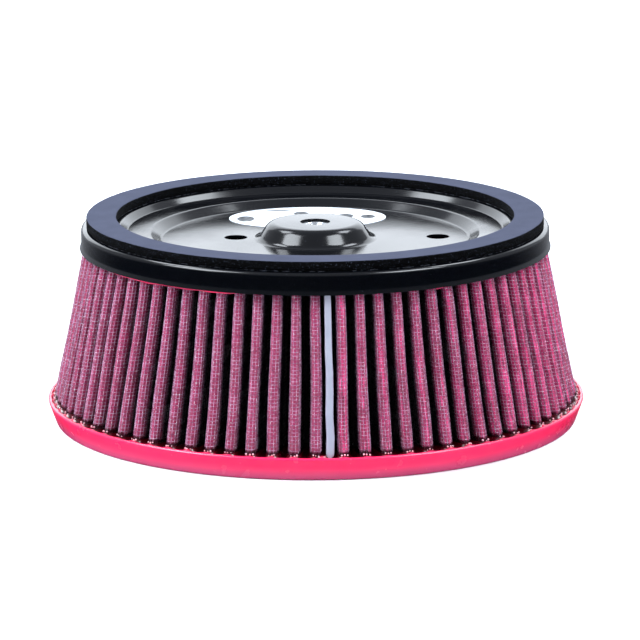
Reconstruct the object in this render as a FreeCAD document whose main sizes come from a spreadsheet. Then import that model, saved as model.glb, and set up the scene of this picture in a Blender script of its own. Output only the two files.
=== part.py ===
import FreeCAD, Part
import math
import os
import re

import Sketcher

# Round tapered air filter element for a motorcycle. Millimetres, +Z up.
# The origin is the centre of the base moulding's flat underside. Azimuths run from -Y towards +X.

Vector = FreeCAD.Vector

SIZES = {
    # base moulding: a cast polyurethane ring that holds the pleats' feet
    "base_height": 7.7,
    "base_lip_wall": 2.1,
    "base_taper": 3.0,
    "base_inner_wall": 3.7,
    "base_inner_step": 0.5,
    "base_lip_round": 0.7,
    "base_foot_round": 1.0,
    "foot_depth": 2.2,
    "cast_clearance": 0.08,
    # pleated pack
    "pleat_count": 77,
    "pack_height": 56.0,
    "crest_radius_bottom": 88.2,
    "crest_radius_top": 76.5,
    "pleat_depth": 15.0,
    "crest_fold_top": 1.55,
    "valley_fold_bottom": 1.75,
    "valley_fold_top": 1.64,
    "screen_gauge": 0.25,
    "ply_gauge": 0.14,
    "ply_count": 4,
    "ply_gap": 0.06,
    # seam, where the two ends of the pack meet inside a crimped strip
    "seam_fold": 0.15,
    "seam_gap": 0.06,
    "seam_slack": 0.14,
    "clip_width_bottom": 2.6,
    "clip_width_top": 2.0,
    "clip_gauge": 0.35,
    "clip_leg": 3.0,
    "clip_setback": 0.1,
    "clip_clearance": 0.05,
    # end plate: one stamping
    "plate_gauge": 0.8,
    "bond_thickness": 2.94,
    "rim_clearance": 0.4,
    "rim_depth": 7.2,
    "rim_curl_height": 1.5,
    "rim_curl": 0.5,
    "flange_width": 13.0,
    "step_run": 2.4,
    "step_drop": 2.1,
    "ledge_width": 7.8,
    "ledge_fall": 0.3,
    "wall_run": 3.5,
    "recess_depth": 4.9,
    "boss_height": 5.5,
    "boss_foot_radius": 19.3,
    "boss_run": 3.8,
    "rim_round": 1.5,
    "step_round": 1.4,
    "wall_round": 2.0,
    "boss_foot_round": 3.0,
    "boss_top_round": 4.0,
    "centre_hole": 10.0,
    "screw_hole": 7.7,
    "left_screw_gap": 7.2,
    "right_screw_gap": 10.4,
    "near_screw_gap": 10.8,
    "near_screw_shift": 7.2,
    "screw_row_shift": 1.2,
    # weld nut under the boss
    "nut_flange_width": 20.0,
    "nut_flange_gauge": 1.5,
    "nut_across_flats": 11.0,
    "nut_body_height": 5.5,
    "nut_bore": 5.1,
    # foam gasket and its adhesive film
    "gasket_setback": 1.75,
    "gasket_width": 10.2,
    "gasket_height": 3.1,
    "tape_gauge": 0.2,
    "tape_setback": 0.5,
    # oval label in the recess
    "label_spread": 1.0394,
    "label_share": 0.6851,
    "label_gauge": 0.15,
    "label_shift": -2.6,
    "label_turn": 2.7,
    "label_edge_gap": 0.2,
    "label_boss_gap": 0.6,
    "film_clearance": 0.02,
}



def fold_formula(guess):
    """The foot's crest fold that gives its flanks the head's lean, from a guess of that fold."""
    along = f"(foot_room - {guess})"
    reach = f"sqrt(foot_across ^ 2 + {along} ^ 2)"
    return f"{reach} * sin(atan(foot_across / {along}) - flank_lean) - valley_outside"


# Values that follow from the sizes above. Each is a formula in their names.
DERIVED = {
    "pack_bottom": "base_height - foot_depth",
    "pack_top": "pack_bottom + pack_height",
    "pack_slope": "(crest_radius_bottom - crest_radius_top) / pack_height",
    "pack_gauge": "2 * screen_gauge + ply_count * ply_gauge + (ply_count + 1) * ply_gap",
    "seam_root": "crest_radius_top - pleat_depth + seam_fold + pack_gauge",
    "seam_room": "2 * (seam_fold + pack_gauge) + seam_gap + seam_slack",
    "seam_azimuth": "asin(seam_room / seam_root)",
    "seam_crimp": "clip_leg + clip_clearance",
    # The flanks lean alike at the pack's foot and head, so that they are flat and the sheets stay apart.
    # The foot's crest fold follows from that in three steps, each nearer than the one before.
    "half_pitch": "(180 deg - seam_azimuth) / (pleat_count - 1)",
    "head_valley": "crest_radius_top - pleat_depth + valley_fold_top",
    "head_across": "head_valley * sin(half_pitch)",
    "head_along": "crest_radius_top - crest_fold_top - head_valley * cos(half_pitch)",
    "head_folds": "crest_fold_top + valley_fold_top - pack_gauge",
    "head_reach": "sqrt(head_across ^ 2 + head_along ^ 2)",
    "flank_lean": "atan(head_across / head_along) - asin(head_folds / head_reach)",
    "foot_valley": "crest_radius_bottom - pleat_depth + valley_fold_bottom",
    "foot_across": "foot_valley * sin(half_pitch)",
    "foot_room": "crest_radius_bottom - foot_valley * cos(half_pitch)",
    "valley_outside": "valley_fold_bottom - pack_gauge",
    "first_fold": fold_formula("crest_fold_top"),
    "second_fold": fold_formula("first_fold"),
    "crest_fold_bottom": fold_formula("second_fold"),
    "lip_radius": "crest_radius_bottom + base_lip_wall",
    "foot_radius": "lip_radius - base_taper",
    "bore_radius": "crest_radius_bottom - pleat_depth - base_inner_wall",
    "groove_outer": "crest_radius_bottom + 2 * cast_clearance",
    "root_radius_bottom": "crest_radius_bottom - pleat_depth",
    "groove_inner": "root_radius_bottom - pack_slope * foot_depth - 2 * cast_clearance",
    "flange_z": "pack_top + bond_thickness + 2 * cast_clearance + plate_gauge",
    "rim_low": "flange_z - rim_depth",
    "curl_z": "rim_low + rim_curl_height",
    "rim_inner": "crest_radius_top + pack_slope * (pack_top - curl_z) + rim_clearance",
    "rim_radius": "rim_inner + plate_gauge",
    "step_top": "rim_radius - flange_width",
    "step_foot": "step_top - step_run",
    "ledge_z": "flange_z - step_drop",
    "wall_top": "step_foot - ledge_width",
    "wall_top_z": "ledge_z - ledge_fall",
    "floor_radius": "wall_top - wall_run",
    "floor_z": "flange_z - recess_depth",
    "boss_z": "floor_z + boss_height",
    "boss_top_radius": "boss_foot_radius - boss_run",
    "nut_seat": "boss_z - plate_gauge - film_clearance",
    "gasket_outer": "rim_radius - gasket_setback",
    "gasket_inner": "gasket_outer - gasket_width",
    "tape_z": "flange_z + film_clearance",
    "gasket_z": "tape_z + tape_gauge",
    "label_z": "floor_z + film_clearance",
    "label_width": "label_spread * floor_radius",
    "label_depth": "label_share * floor_radius",
    "label_y": "floor_radius - wall_round / 3 - label_edge_gap - label_depth / 2",
    "label_bite": "boss_foot_radius + boss_foot_round / 2 + label_boss_gap",
}

doc = FreeCAD.newDocument("AirFilter")
sheet = doc.addObject("Spreadsheet::Sheet", "Sizes")


def fill_sheet():
    """Writes each size as a plain number beside its name."""
    for row, (name, number) in enumerate(SIZES.items(), start=1):
        sheet.set(f"A{row}", name)
        sheet.set(f"B{row}", str(number))
        sheet.setAlias(f"B{row}", name)
    doc.recompute()


def formula(text):
    """The text with derived names written out and each size read from the sheet."""
    def swap(match):
        word = match.group(0)
        if word in DERIVED:
            return "(" + formula(DERIVED[word]) + ")"
        return "Sizes." + word if word in SIZES else word
    return re.sub(r"[A-Za-z_]+", swap, str(text))


def value(text):
    """What a formula comes to now, as a number."""
    return float(sheet.evalExpression(formula(text)))


def bind(thing, prop, text):
    thing.setExpression(prop, formula(text))


def new_body(label):
    body = doc.addObject("PartDesign::Body", label)
    body.Label = label
    return body


def origin_part(body, role):
    return next(item for item in body.Origin.OriginFeatures if item.Role == role)


def new_sketch(body, name, plane="XY_Plane", height=None):
    sketch = body.newObject("Sketcher::SketchObject", name)
    sketch.AttachmentSupport = [(origin_part(body, plane), "")]
    sketch.MapMode = "FlatFace"
    if height is not None:
        bind(sketch, "AttachmentOffset.Base.z", height)
    return sketch


def pin(sketch, kind, item, spot, name, text):
    """Holds one point of a sketch at a distance from its origin."""
    constraint = Sketcher.Constraint(kind, -1, 1, item, spot, value(text))
    index = sketch.addConstraint(constraint)
    sketch.renameConstraint(index, name)
    bind(sketch, f"Constraints.{name}", text)


def add_outline(sketch, corners):
    """A closed outline of straight lines through corners given as pairs of formulas."""
    spots = [Vector(value(across), value(up), 0) for across, up in corners]
    first = sketch.GeometryCount
    count = len(spots)
    for index in range(count):
        sketch.addGeometry(Part.LineSegment(spots[index], spots[(index + 1) % count]))
    for index in range(count):
        after = first + (index + 1) % count
        sketch.addConstraint(Sketcher.Constraint("Coincident", first + index, 2, after, 1))
    for index, (across, up) in enumerate(corners):
        pin(sketch, "DistanceX", first + index, 1, f"across_{first + index}", across)
        pin(sketch, "DistanceY", first + index, 1, f"up_{first + index}", up)


def add_circle(sketch, across, up, diameter):
    spot = Vector(value(across), value(up), 0)
    item = sketch.addGeometry(Part.Circle(spot, Vector(0, 0, 1), value(diameter) / 2))
    pin(sketch, "DistanceX", item, 3, f"across_{item}", across)
    pin(sketch, "DistanceY", item, 3, f"up_{item}", up)
    index = sketch.addConstraint(Sketcher.Constraint("Diameter", item, value(diameter)))
    sketch.renameConstraint(index, f"diameter_{item}")
    bind(sketch, f"Constraints.diameter_{item}", diameter)


def revolve(body, corners):
    """A turned solid whose half section is given as radius and height pairs."""
    sketch = new_sketch(body, "half_section", "XZ_Plane")
    add_outline(sketch, corners)
    turned = body.newObject("PartDesign::Revolution", "turned")
    turned.Profile = sketch
    turned.ReferenceAxis = (origin_part(body, "Z_Axis"), [""])
    turned.Angle = 360
    doc.recompute()
    return turned


def circle_edges(shape, radius, height):
    """Names of the round edges about the Z axis at a radius and a height."""
    names = []
    for index, edge in enumerate(shape.Edges, start=1):
        curve = edge.Curve
        if not isinstance(curve, Part.Circle):
            continue
        close = abs(curve.Radius - radius) < 0.001 and abs(curve.Center.z - height) < 0.001
        if close:
            names.append(f"Edge{index}")
    return names


def round_corner(body, feature, radius, height, size):
    edges = circle_edges(feature.Shape, value(radius), value(height))
    if not edges:
        raise ValueError(f"{body.Label} has no corner at {radius}, {height}")
    corner = body.newObject("PartDesign::Fillet", "corner")
    corner.Base = (feature, edges)
    bind(corner, "Radius", size)
    doc.recompute()
    return corner


def pad(body, sketch, length):
    solid = body.newObject("PartDesign::Pad", "pad")
    solid.Profile = sketch
    bind(solid, "Length", length)
    doc.recompute()
    return solid


def cut_through(body, sketch):
    """A pocket both ways from its sketch. Stops if it took nothing away."""
    before = body.Shape.Volume
    pocket = body.newObject("PartDesign::Pocket", "pocket")
    pocket.Profile = sketch
    pocket.Type = "ThroughAll"
    pocket.Midplane = True
    doc.recompute()
    if pocket.Shape.Volume >= before:
        raise ValueError(f"a pocket in {body.Label} cut nothing")
    return pocket


def make_base_moulding():
    """The polyurethane ring, with the groove that the pleats are cast into."""
    body = new_body("base_moulding")
    inner_top = "base_height - base_inner_step"
    groove_floor = "pack_bottom - cast_clearance"
    solid = revolve(body, [
        ("bore_radius", "0"),
        ("foot_radius", "0"),
        ("lip_radius", "base_height"),
        ("groove_outer", "base_height"),
        ("groove_outer", groove_floor),
        ("groove_inner", groove_floor),
        ("groove_inner", inner_top),
        ("bore_radius", inner_top),
    ])
    solid = round_corner(body, solid, "lip_radius", "base_height", "base_lip_round")
    solid = round_corner(body, solid, "foot_radius", "0", "base_foot_round")
    solid = round_corner(body, solid, "bore_radius", "0", "base_foot_round")
    round_corner(body, solid, "bore_radius", inner_top, "base_foot_round")
    return body


def make_end_plate():
    """The stamped cap: a turned form, rounded, hollowed to the sheet's gauge and drilled."""
    body = new_body("end_plate")
    solid = revolve(body, [
        ("0", "rim_low"),
        ("rim_radius + rim_curl", "rim_low"),
        ("rim_radius", "curl_z"),
        ("rim_radius", "flange_z"),
        ("step_top", "flange_z"),
        ("step_foot", "ledge_z"),
        ("wall_top", "wall_top_z"),
        ("floor_radius", "floor_z"),
        ("boss_foot_radius", "floor_z"),
        ("boss_top_radius", "boss_z"),
        ("0", "boss_z"),
    ])
    solid = round_corner(body, solid, "rim_radius", "flange_z", "rim_round")
    solid = round_corner(body, solid, "rim_radius", "curl_z", "rim_round")
    solid = round_corner(body, solid, "step_top", "flange_z", "step_round")
    solid = round_corner(body, solid, "step_foot", "ledge_z", "step_round")
    solid = round_corner(body, solid, "wall_top", "wall_top_z", "wall_round")
    solid = round_corner(body, solid, "floor_radius", "floor_z", "wall_round")
    solid = round_corner(body, solid, "boss_foot_radius", "floor_z", "boss_foot_round")
    solid = round_corner(body, solid, "boss_top_radius", "boss_z", "boss_top_round")
    low = value("rim_low")
    faces = solid.Shape.Faces
    under = [f"Face{i}" for i, face in enumerate(faces, 1) if abs(face.CenterOfMass.z - low) < 0.001]
    hollow = body.newObject("PartDesign::Thickness", "gauge")
    hollow.Base = (solid, under)
    hollow.Reversed = True
    bind(hollow, "Value", "plate_gauge")
    doc.recompute()
    holes = new_sketch(body, "holes")
    add_circle(holes, "0", "0", "centre_hole")
    add_circle(holes, "-(boss_foot_radius + left_screw_gap)", "screw_row_shift", "screw_hole")
    add_circle(holes, "floor_radius - right_screw_gap", "screw_row_shift", "screw_hole")
    add_circle(holes, "near_screw_shift", "-(floor_radius - near_screw_gap)", "screw_hole")
    cut_through(body, holes)
    return body


def make_centre_nut():
    """A weld nut: a round flange against the boss, a hexagon below it and the threaded bore."""
    body = new_body("centre_nut")
    flange = new_sketch(body, "flange", height="nut_seat - nut_flange_gauge")
    add_circle(flange, "0", "0", "nut_flange_width")
    pad(body, flange, "nut_flange_gauge")
    hexagon = new_sketch(body, "hexagon", height="nut_seat - nut_flange_gauge - nut_body_height")
    corners = []
    for step in range(6):
        turn = math.radians(60 * step)
        reach = "nut_across_flats / 2 / cos(30)"
        corners.append((f"{reach} * {math.cos(turn):.12f}", f"{reach} * {math.sin(turn):.12f}"))
    add_outline(hexagon, corners)
    pad(body, hexagon, "nut_body_height + nut_flange_gauge / 2")
    bore = new_sketch(body, "bore")
    add_circle(bore, "0", "0", "nut_bore")
    cut_through(body, bore)
    return body


def make_ring(label, outer, inner, low, thickness):
    """A flat ring, as the gasket and its adhesive film are."""
    body = new_body(label)
    sketch = new_sketch(body, "ring", height=low)
    add_circle(sketch, "0", "0", f"2 * ({outer})")
    add_circle(sketch, "0", "0", f"2 * ({inner})")
    pad(body, sketch, thickness)
    return body


def make_top_bond():
    """The ring of bonding compound between the pleats' top edges and the plate."""
    body = new_body("top_bond")
    low = "pack_top + cast_clearance"
    ledge = "ledge_z - ledge_fall - plate_gauge - cast_clearance"
    high = "flange_z - plate_gauge - cast_clearance"
    outer = "rim_inner - cast_clearance"
    corner = "rim_round / 2"
    revolve(body, [
        ("crest_radius_top - pleat_depth", low),
        (outer, low),
        (outer, f"{high} - {corner}"),
        (f"{outer} - {corner}", high),
        ("step_top + plate_gauge + cast_clearance", high),
        ("step_foot + plate_gauge + cast_clearance", ledge),
        ("crest_radius_top - pleat_depth", ledge),
    ])
    return body


def make_label():
    """An oval sticker on the floor of the recess, cut back to clear the boss."""
    oval = doc.addObject("Part::Ellipse", "label_oval")
    bind(oval, "MajorRadius", "label_width / 2")
    bind(oval, "MinorRadius", "label_depth / 2")
    bind(oval, "Placement.Base.x", "label_shift")
    bind(oval, "Placement.Base.y", "label_y")
    bind(oval, "Placement.Base.z", "label_z")
    bind(oval, "Placement.Rotation.Angle", "label_turn")
    blank = doc.addObject("Part::Extrusion", "label_blank")
    blank.Base = oval
    blank.DirMode = "Custom"
    blank.Dir = Vector(0, 0, 1)
    blank.Solid = True
    bind(blank, "LengthFwd", "label_gauge")
    bite = doc.addObject("Part::Cylinder", "label_bite")
    bind(bite, "Radius", "label_bite")
    bind(bite, "Height", "label_z + boss_height")
    label = doc.addObject("Part::Cut", "label")
    label.Base = blank
    label.Tool = bite
    doc.recompute()
    return label


def clip_corners(crest, width):
    """The strip's section where the crests stand at one radius: a U, open towards the axis."""
    face = f"({crest} - clip_setback)"
    inside = f"({width} / 2 - clip_gauge)"
    return [
        (face, f"-({width} / 2)"),
        (face, f"{width} / 2"),
        (f"{face} - clip_leg", f"{width} / 2"),
        (f"{face} - clip_leg", inside),
        (f"{face} - clip_gauge", inside),
        (f"{face} - clip_gauge", f"-{inside}"),
        (f"{face} - clip_leg", f"-{inside}"),
        (f"{face} - clip_leg", f"-({width} / 2)"),
    ]


def make_seam_clip():
    """The aluminium strip crimped over the seam, leaning in with the pleats."""
    body = new_body("seam_clip")
    foot = new_sketch(body, "foot", height="pack_bottom")
    add_outline(foot, clip_corners("crest_radius_bottom", "clip_width_bottom"))
    head = new_sketch(body, "head", height="pack_top")
    add_outline(head, clip_corners("crest_radius_top", "clip_width_top"))
    doc.recompute()
    strip = body.newObject("PartDesign::AdditiveLoft", "strip")
    strip.Profile = foot
    strip.Sections = [head]
    strip.Ruled = True
    turn = FreeCAD.Rotation(Vector(0, 0, 1), -90 + value("seam_azimuth"))
    body.Placement = FreeCAD.Placement(Vector(), turn)
    doc.recompute()
    return body


class PackLevel:
    """The pleated pack's folds at one height, from one side of the seam round to the other."""

    def __init__(self, height, crest_radius, crest_fold, valley_fold, clip_width):
        self.height = height
        self.gauge = value("pack_gauge")
        self.crest_centre = crest_radius - crest_fold
        self.crest_fold = crest_fold
        self.root_radius = crest_radius - value("pleat_depth")
        self.valley_fold = valley_fold
        self.end_radius = crest_radius - value("clip_setback + clip_gauge + clip_clearance")
        spread = (clip_width - value("clip_width_top")) / 2
        self.seam_offset = value("seam_fold + pack_gauge + seam_gap") + spread
        inside = clip_width / 2 - value("clip_gauge + clip_clearance")
        self.crimp = (inside - value("seam_gap / 2")) / self.gauge
        self.folds = self.list_folds()

    def spot(self, azimuth, radius):
        turn = math.radians(azimuth)
        return Vector(radius * math.sin(turn), -radius * math.cos(turn), self.height)

    def seam_fold_at(self, side):
        """The first fold beside the seam, just clear of the seam's middle."""
        fold = value("seam_fold")
        radius = self.root_radius + fold + self.gauge
        turn = math.degrees(math.asin(self.seam_offset / radius))
        return self.spot(value("seam_azimuth") + side * turn, radius), fold, -1

    def list_folds(self):
        """Each fold's centre, its radius on the pack's outer face, and 1 for a crest or -1."""
        count = int(value("pleat_count"))
        first = 2 * value("seam_azimuth")
        pitch = (360 - first) / (count - 1)
        folds = [self.seam_fold_at(1)]
        for index in range(count):
            azimuth = first + index * pitch
            folds.append((self.spot(azimuth, self.crest_centre), self.crest_fold, 1))
            if index < count - 1:
                root = self.root_radius + self.valley_fold
                middle = self.spot(azimuth + pitch / 2, root)
                folds.append((middle, self.valley_fold - self.gauge, -1))
        folds.append(self.seam_fold_at(-1))
        return folds

    def seam_spot(self, side, depth, inwards):
        """A point of a face's straight end, which the strip holds crimped beside the seam."""
        outwards = self.spot(value("seam_azimuth"), 1) - Vector(0, 0, self.height)
        across = Vector(-outwards.y, outwards.x, 0)
        offset = value("seam_gap / 2") + (self.gauge - depth) * self.crimp
        foot = Vector(0, 0, self.height)
        return foot + outwards * (self.end_radius - inwards) + across * (side * offset)

    def trace(self, depth):
        """The edges of the face at a depth in the pack: arcs round folds, and the lines between."""
        crimp = value("seam_crimp")
        start = self.seam_spot(1, depth, crimp)
        stop = self.seam_spot(-1, depth, crimp)
        rounds = [(start, 0.0, 1)]
        for centre, radius, kind in self.folds:
            rounds.append((centre, radius - kind * depth, kind))
        rounds.append((stop, 0.0, 1))
        spots = [tangent_points(a, b) for a, b in zip(rounds, rounds[1:])]
        edges = [Part.makeLine(self.seam_spot(1, depth, 0), start), Part.makeLine(*spots[0])]
        for index in range(1, len(rounds) - 1):
            centre, radius, kind = rounds[index]
            outwards = Vector(centre.x, centre.y, 0).normalize()
            middle = centre + outwards * (kind * radius)
            edges.append(Part.Arc(spots[index - 1][1], middle, spots[index][0]).toShape())
            edges.append(Part.makeLine(*spots[index]))
        edges.append(Part.makeLine(stop, self.seam_spot(-1, depth, 0)))
        return edges


def tangent_points(first, second):
    """Ends of the line that leaves one fold and meets the next, which bends the other way."""
    centre_a, radius_a, kind_a = first
    centre_b, radius_b, kind_b = second
    along = centre_b - centre_a
    turn = kind_a * math.asin((radius_a + radius_b) / along.Length)
    along.normalize()
    x = along.x * math.cos(turn) - along.y * math.sin(turn)
    y = along.x * math.sin(turn) + along.y * math.cos(turn)
    left = Vector(-y, x, 0)
    return centre_a - left * (kind_a * radius_a), centre_b - left * (kind_b * radius_b)


def make_layer(label, levels, depth, gauge):
    """One folded sheet of the pack, from its outer face's depth, as a closed solid."""
    loops = []
    for level in levels:
        outer = level.trace(depth)
        inner = level.trace(depth + gauge)
        joins = []
        for end in (0, -1):
            spot = end if end == 0 else 1
            one = outer[end].Vertexes[spot].Point
            two = inner[end].Vertexes[spot].Point
            joins.append(Part.makeLine(one, two))
        loops.append((outer, inner, joins))
    low = loops[0][0] + loops[0][1] + loops[0][2]
    high = loops[1][0] + loops[1][1] + loops[1][2]
    faces = [Part.makeRuledSurface(a, b) for a, b in zip(low, high)]
    for edges in (low, high):
        faces.append(Part.Face(Part.Wire(Part.__sortEdges__(edges))))
    shell = Part.makeShell(faces)
    shell.sewShape()
    solid = Part.makeSolid(Part.Shell(shell.Faces))
    if solid.Volume < 0:
        solid.reverse()
    layer = doc.addObject("Part::Feature", label)
    layer.Shape = solid
    layer.Placement = FreeCAD.Placement()
    return layer


def make_pack():
    """The outer screen, the gauze plies and the inner screen, folded together."""
    levels = []
    for end, height in (("bottom", "pack_bottom"), ("top", "pack_top")):
        levels.append(PackLevel(
            value(height),
            value(f"crest_radius_{end}"),
            value(f"crest_fold_{end}"),
            value(f"valley_fold_{end}"),
            value(f"clip_width_{end}"),
        ))
    names = ["outer_screen"]
    names += [f"gauze_ply_{index + 1}" for index in range(int(value("ply_count")))]
    names.append("inner_screen")
    layers = []
    depth = 0.0
    for name in names:
        gauge = value("screen_gauge") if name.endswith("screen") else value("ply_gauge")
        layers.append(make_layer(name, levels, depth, gauge))
        depth += gauge + value("ply_gap")
    return layers


def check(parts):
    doc.recompute()
    for item in doc.Objects:
        for word in ("Invalid", "Error"):
            if word in item.State:
                raise ValueError(f"{item.Label} is {item.State}")
    for item in parts:
        shape = item.Shape
        if shape.isNull() or not shape.isValid() or not shape.Solids:
            raise ValueError(f"{item.Label} has no valid solid")


def main():
    fill_sheet()
    parts = [
        make_base_moulding(),
        make_end_plate(),
        make_centre_nut(),
        make_ring("gasket_tape", "gasket_outer - tape_setback", "gasket_inner + tape_setback",
                  "tape_z", "tape_gauge"),
        make_ring("foam_gasket", "gasket_outer", "gasket_inner", "gasket_z", "gasket_height"),
        make_top_bond(),
        make_label(),
        make_seam_clip(),
    ]
    parts += make_pack()
    check(parts)
    os.makedirs("parts", exist_ok=True)
    for item in parts:
        item.Shape.exportStep(f"parts/{item.Label}.step")
        box = item.Shape.optimalBoundingBox()
        print(f"{item.Label:15s} {item.Shape.Volume:10.1f} mm3  z {box.ZMin:6.2f} to {box.ZMax:6.2f}"
              f"  x {box.XMin:7.2f} to {box.XMax:7.2f}")


main()
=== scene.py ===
"""Looks of a tapered, pleated air filter element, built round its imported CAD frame.

The element is a folded pack of oiled cotton gauze between two wire screens. Its foot stands in a cast
polyurethane ring, its head is bonded under a stamped, enamelled end plate that carries a foam gasket.
Lengths in the classes are millimetres. Azimuth 0 is -Y and turns towards +X.
"""

import logging
import math
from dataclasses import dataclass, field
from enum import Enum
from typing import Any, Callable, Optional

import bmesh
import bpy
import numpy as np
from mathutils import Matrix, Vector

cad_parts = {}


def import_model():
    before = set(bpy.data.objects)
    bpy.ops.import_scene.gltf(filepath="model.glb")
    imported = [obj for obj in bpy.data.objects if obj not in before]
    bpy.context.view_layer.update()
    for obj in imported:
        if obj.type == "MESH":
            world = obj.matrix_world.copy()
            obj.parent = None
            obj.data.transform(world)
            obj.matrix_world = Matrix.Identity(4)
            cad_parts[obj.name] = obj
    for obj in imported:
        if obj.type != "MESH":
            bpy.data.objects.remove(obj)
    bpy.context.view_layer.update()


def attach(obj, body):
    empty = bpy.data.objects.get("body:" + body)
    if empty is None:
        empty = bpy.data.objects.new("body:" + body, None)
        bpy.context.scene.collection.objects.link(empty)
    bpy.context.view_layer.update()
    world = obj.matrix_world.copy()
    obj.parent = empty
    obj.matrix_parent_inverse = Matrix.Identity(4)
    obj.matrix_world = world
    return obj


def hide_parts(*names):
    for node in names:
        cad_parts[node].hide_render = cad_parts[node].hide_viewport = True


MM = 0.001
BODY = "root"
log = logging.getLogger("air_filter")

# the seam stands a little to the right of -Y
SEAM_AZIMUTH = math.asin(3.22 / 63.01)
# oiled gauze and wire where the casting resin has crept into them
RESIN_SOAKED = "#4c0a22"

Socket = Any


# ---------------------------------------------------------------- helpers

def linear(colour: str) -> tuple[float, float, float, float]:
    """Turns an sRGB hex colour into linear light.

    Args:
        colour: Six hex digits with a leading "#".

    Returns:
        Red, green, blue and an alpha of 1.
    """
    parts = [int(colour[i:i + 2], 16) / 255 for i in (1, 3, 5)]
    light = [c / 12.92 if c <= 0.04045 else ((c + 0.055) / 1.055) ** 2.4 for c in parts]
    return light[0], light[1], light[2], 1.0


class Graph:
    """A node tree, with short ways to add the nodes that finishes and shapes are made of."""

    def __init__(self, tree: bpy.types.NodeTree) -> None:
        """Takes a tree.

        Args:
            tree: The tree that everything goes into.
        """
        self.tree = tree

    def add(self, kind: str, settings: Optional[dict[str, Any]] = None,
            inputs: Optional[dict[Any, Any]] = None) -> bpy.types.Node:
        """Adds a node with its settings, its values and its links.

        Args:
            kind: The node's type name.
            settings: Properties of the node.
            inputs: A value, or the socket to link from, for each input by name or number.

        Returns:
            The new node.
        """
        node = self.tree.nodes.new(kind)
        for name, value in (settings or {}).items():
            setattr(node, name, value)
        for key, value in (inputs or {}).items():
            if isinstance(value, bpy.types.NodeSocket):
                self.tree.links.new(value, node.inputs[key])
            else:
                node.inputs[key].default_value = value
        return node

    def math(self, operation: str, first: Any, second: Any = 0.0, third: Any = 0.0,
             clamp: bool = False) -> Socket:
        """Adds a Math node.

        Args:
            operation: The node's operation.
            first: Its first value or socket.
            second: Its second value or socket.
            third: Its third value or socket.
            clamp: Whether the result stays between 0 and 1.

        Returns:
            The result's socket.
        """
        return self.add("ShaderNodeMath", {"operation": operation, "use_clamp": clamp},
                        {0: first, 1: second, 2: third}).outputs[0]

    def vector(self, operation: str, first: Any, second: Any = (0.0, 0.0, 0.0), scale: Any = 1.0) -> Socket:
        """Adds a Vector Math node that gives a vector.

        Args:
            operation: The node's operation.
            first: Its first vector or socket.
            second: Its second vector or socket.
            scale: The factor of SCALE.

        Returns:
            The result's socket.
        """
        return self.add("ShaderNodeVectorMath", {"operation": operation},
                        {0: first, 1: second, 3: scale}).outputs[0]

    def mix(self, share: Any, first: Any, second: Any) -> Socket:
        """Mixes two colours, each an sRGB hex or a socket.

        Args:
            share: How much of the second shows.
            first: The first colour.
            second: The second colour.

        Returns:
            The mixed colour's socket.
        """
        first, second = (linear(c) if isinstance(c, str) else c for c in (first, second))
        return self.add("ShaderNodeMix", {"data_type": "RGBA", "clamp_factor": True},
                        {0: share, 6: first, 7: second}).outputs[2]

    def blend(self, share: Any, first: Any, second: Any) -> Socket:
        """Blends two values.

        Args:
            share: How much of the second counts.
            first: The first value.
            second: The second value.

        Returns:
            The blend's socket.
        """
        rest = self.math("MULTIPLY", self.math("SUBTRACT", 1.0, share), first)
        return self.math("MULTIPLY_ADD", share, second, rest)

    def ramp(self, value: Socket, low: float, high: float, start: float = 0.0, end: float = 1.0) -> Socket:
        """Maps a range of a value smoothly to another range.

        Args:
            value: The socket to map.
            low: The value that gives start.
            high: The value that gives end.
            start: The result at low.
            end: The result at high.

        Returns:
            The result's socket.
        """
        return self.add("ShaderNodeMapRange", {"interpolation_type": "SMOOTHSTEP"}, {
            "Value": value, "From Min": low, "From Max": high, "To Min": start, "To Max": end}).outputs[0]


def mesh_piece(name: str, points: np.ndarray, faces: list[tuple[int, ...]],
               sharp: Optional[float] = 35.0) -> Any:
    """Makes a mesh object at the origin from points in millimetres, with its faces turned outwards.

    Args:
        name: The piece's name.
        points: Rows of x, y, z.
        faces: Each face's point numbers.
        sharp: Edges sharper than this many degrees aren't smoothed over. None smooths all.

    Returns:
        The object.
    """
    mesh = bpy.data.meshes.new(name)
    mesh.from_pydata((points * MM).tolist(), [], faces)
    work = bmesh.new()
    work.from_mesh(mesh)
    bmesh.ops.remove_doubles(work, verts=work.verts, dist=0.000002)
    bmesh.ops.recalc_face_normals(work, faces=work.faces)
    work.to_mesh(mesh)
    work.free()
    mesh.shade_smooth()
    if sharp is not None:
        mesh.set_sharp_from_angle(angle=math.radians(sharp))
    piece = bpy.data.objects.new(name, mesh)
    bpy.context.scene.collection.objects.link(piece)
    return piece


def tube_faces(sections: int, points: int, whole: bool = True) -> list[tuple[int, ...]]:
    """The faces of a tube of closed sections.

    Args:
        sections: How many sections there are.
        points: How many points each has.
        whole: Whether the last section joins the first. If not, both ends are capped.

    Returns:
        Each face's point numbers.
    """
    faces: list[tuple[int, ...]] = []
    for i in range(sections if whole else sections - 1):
        j = (i + 1) % sections
        for k in range(points):
            m = (k + 1) % points
            faces.append((i * points + k, i * points + m, j * points + m, j * points + k))
    if not whole:
        faces += [tuple(range(points)), tuple(range((sections - 1) * points, sections * points))]
    return faces


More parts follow.
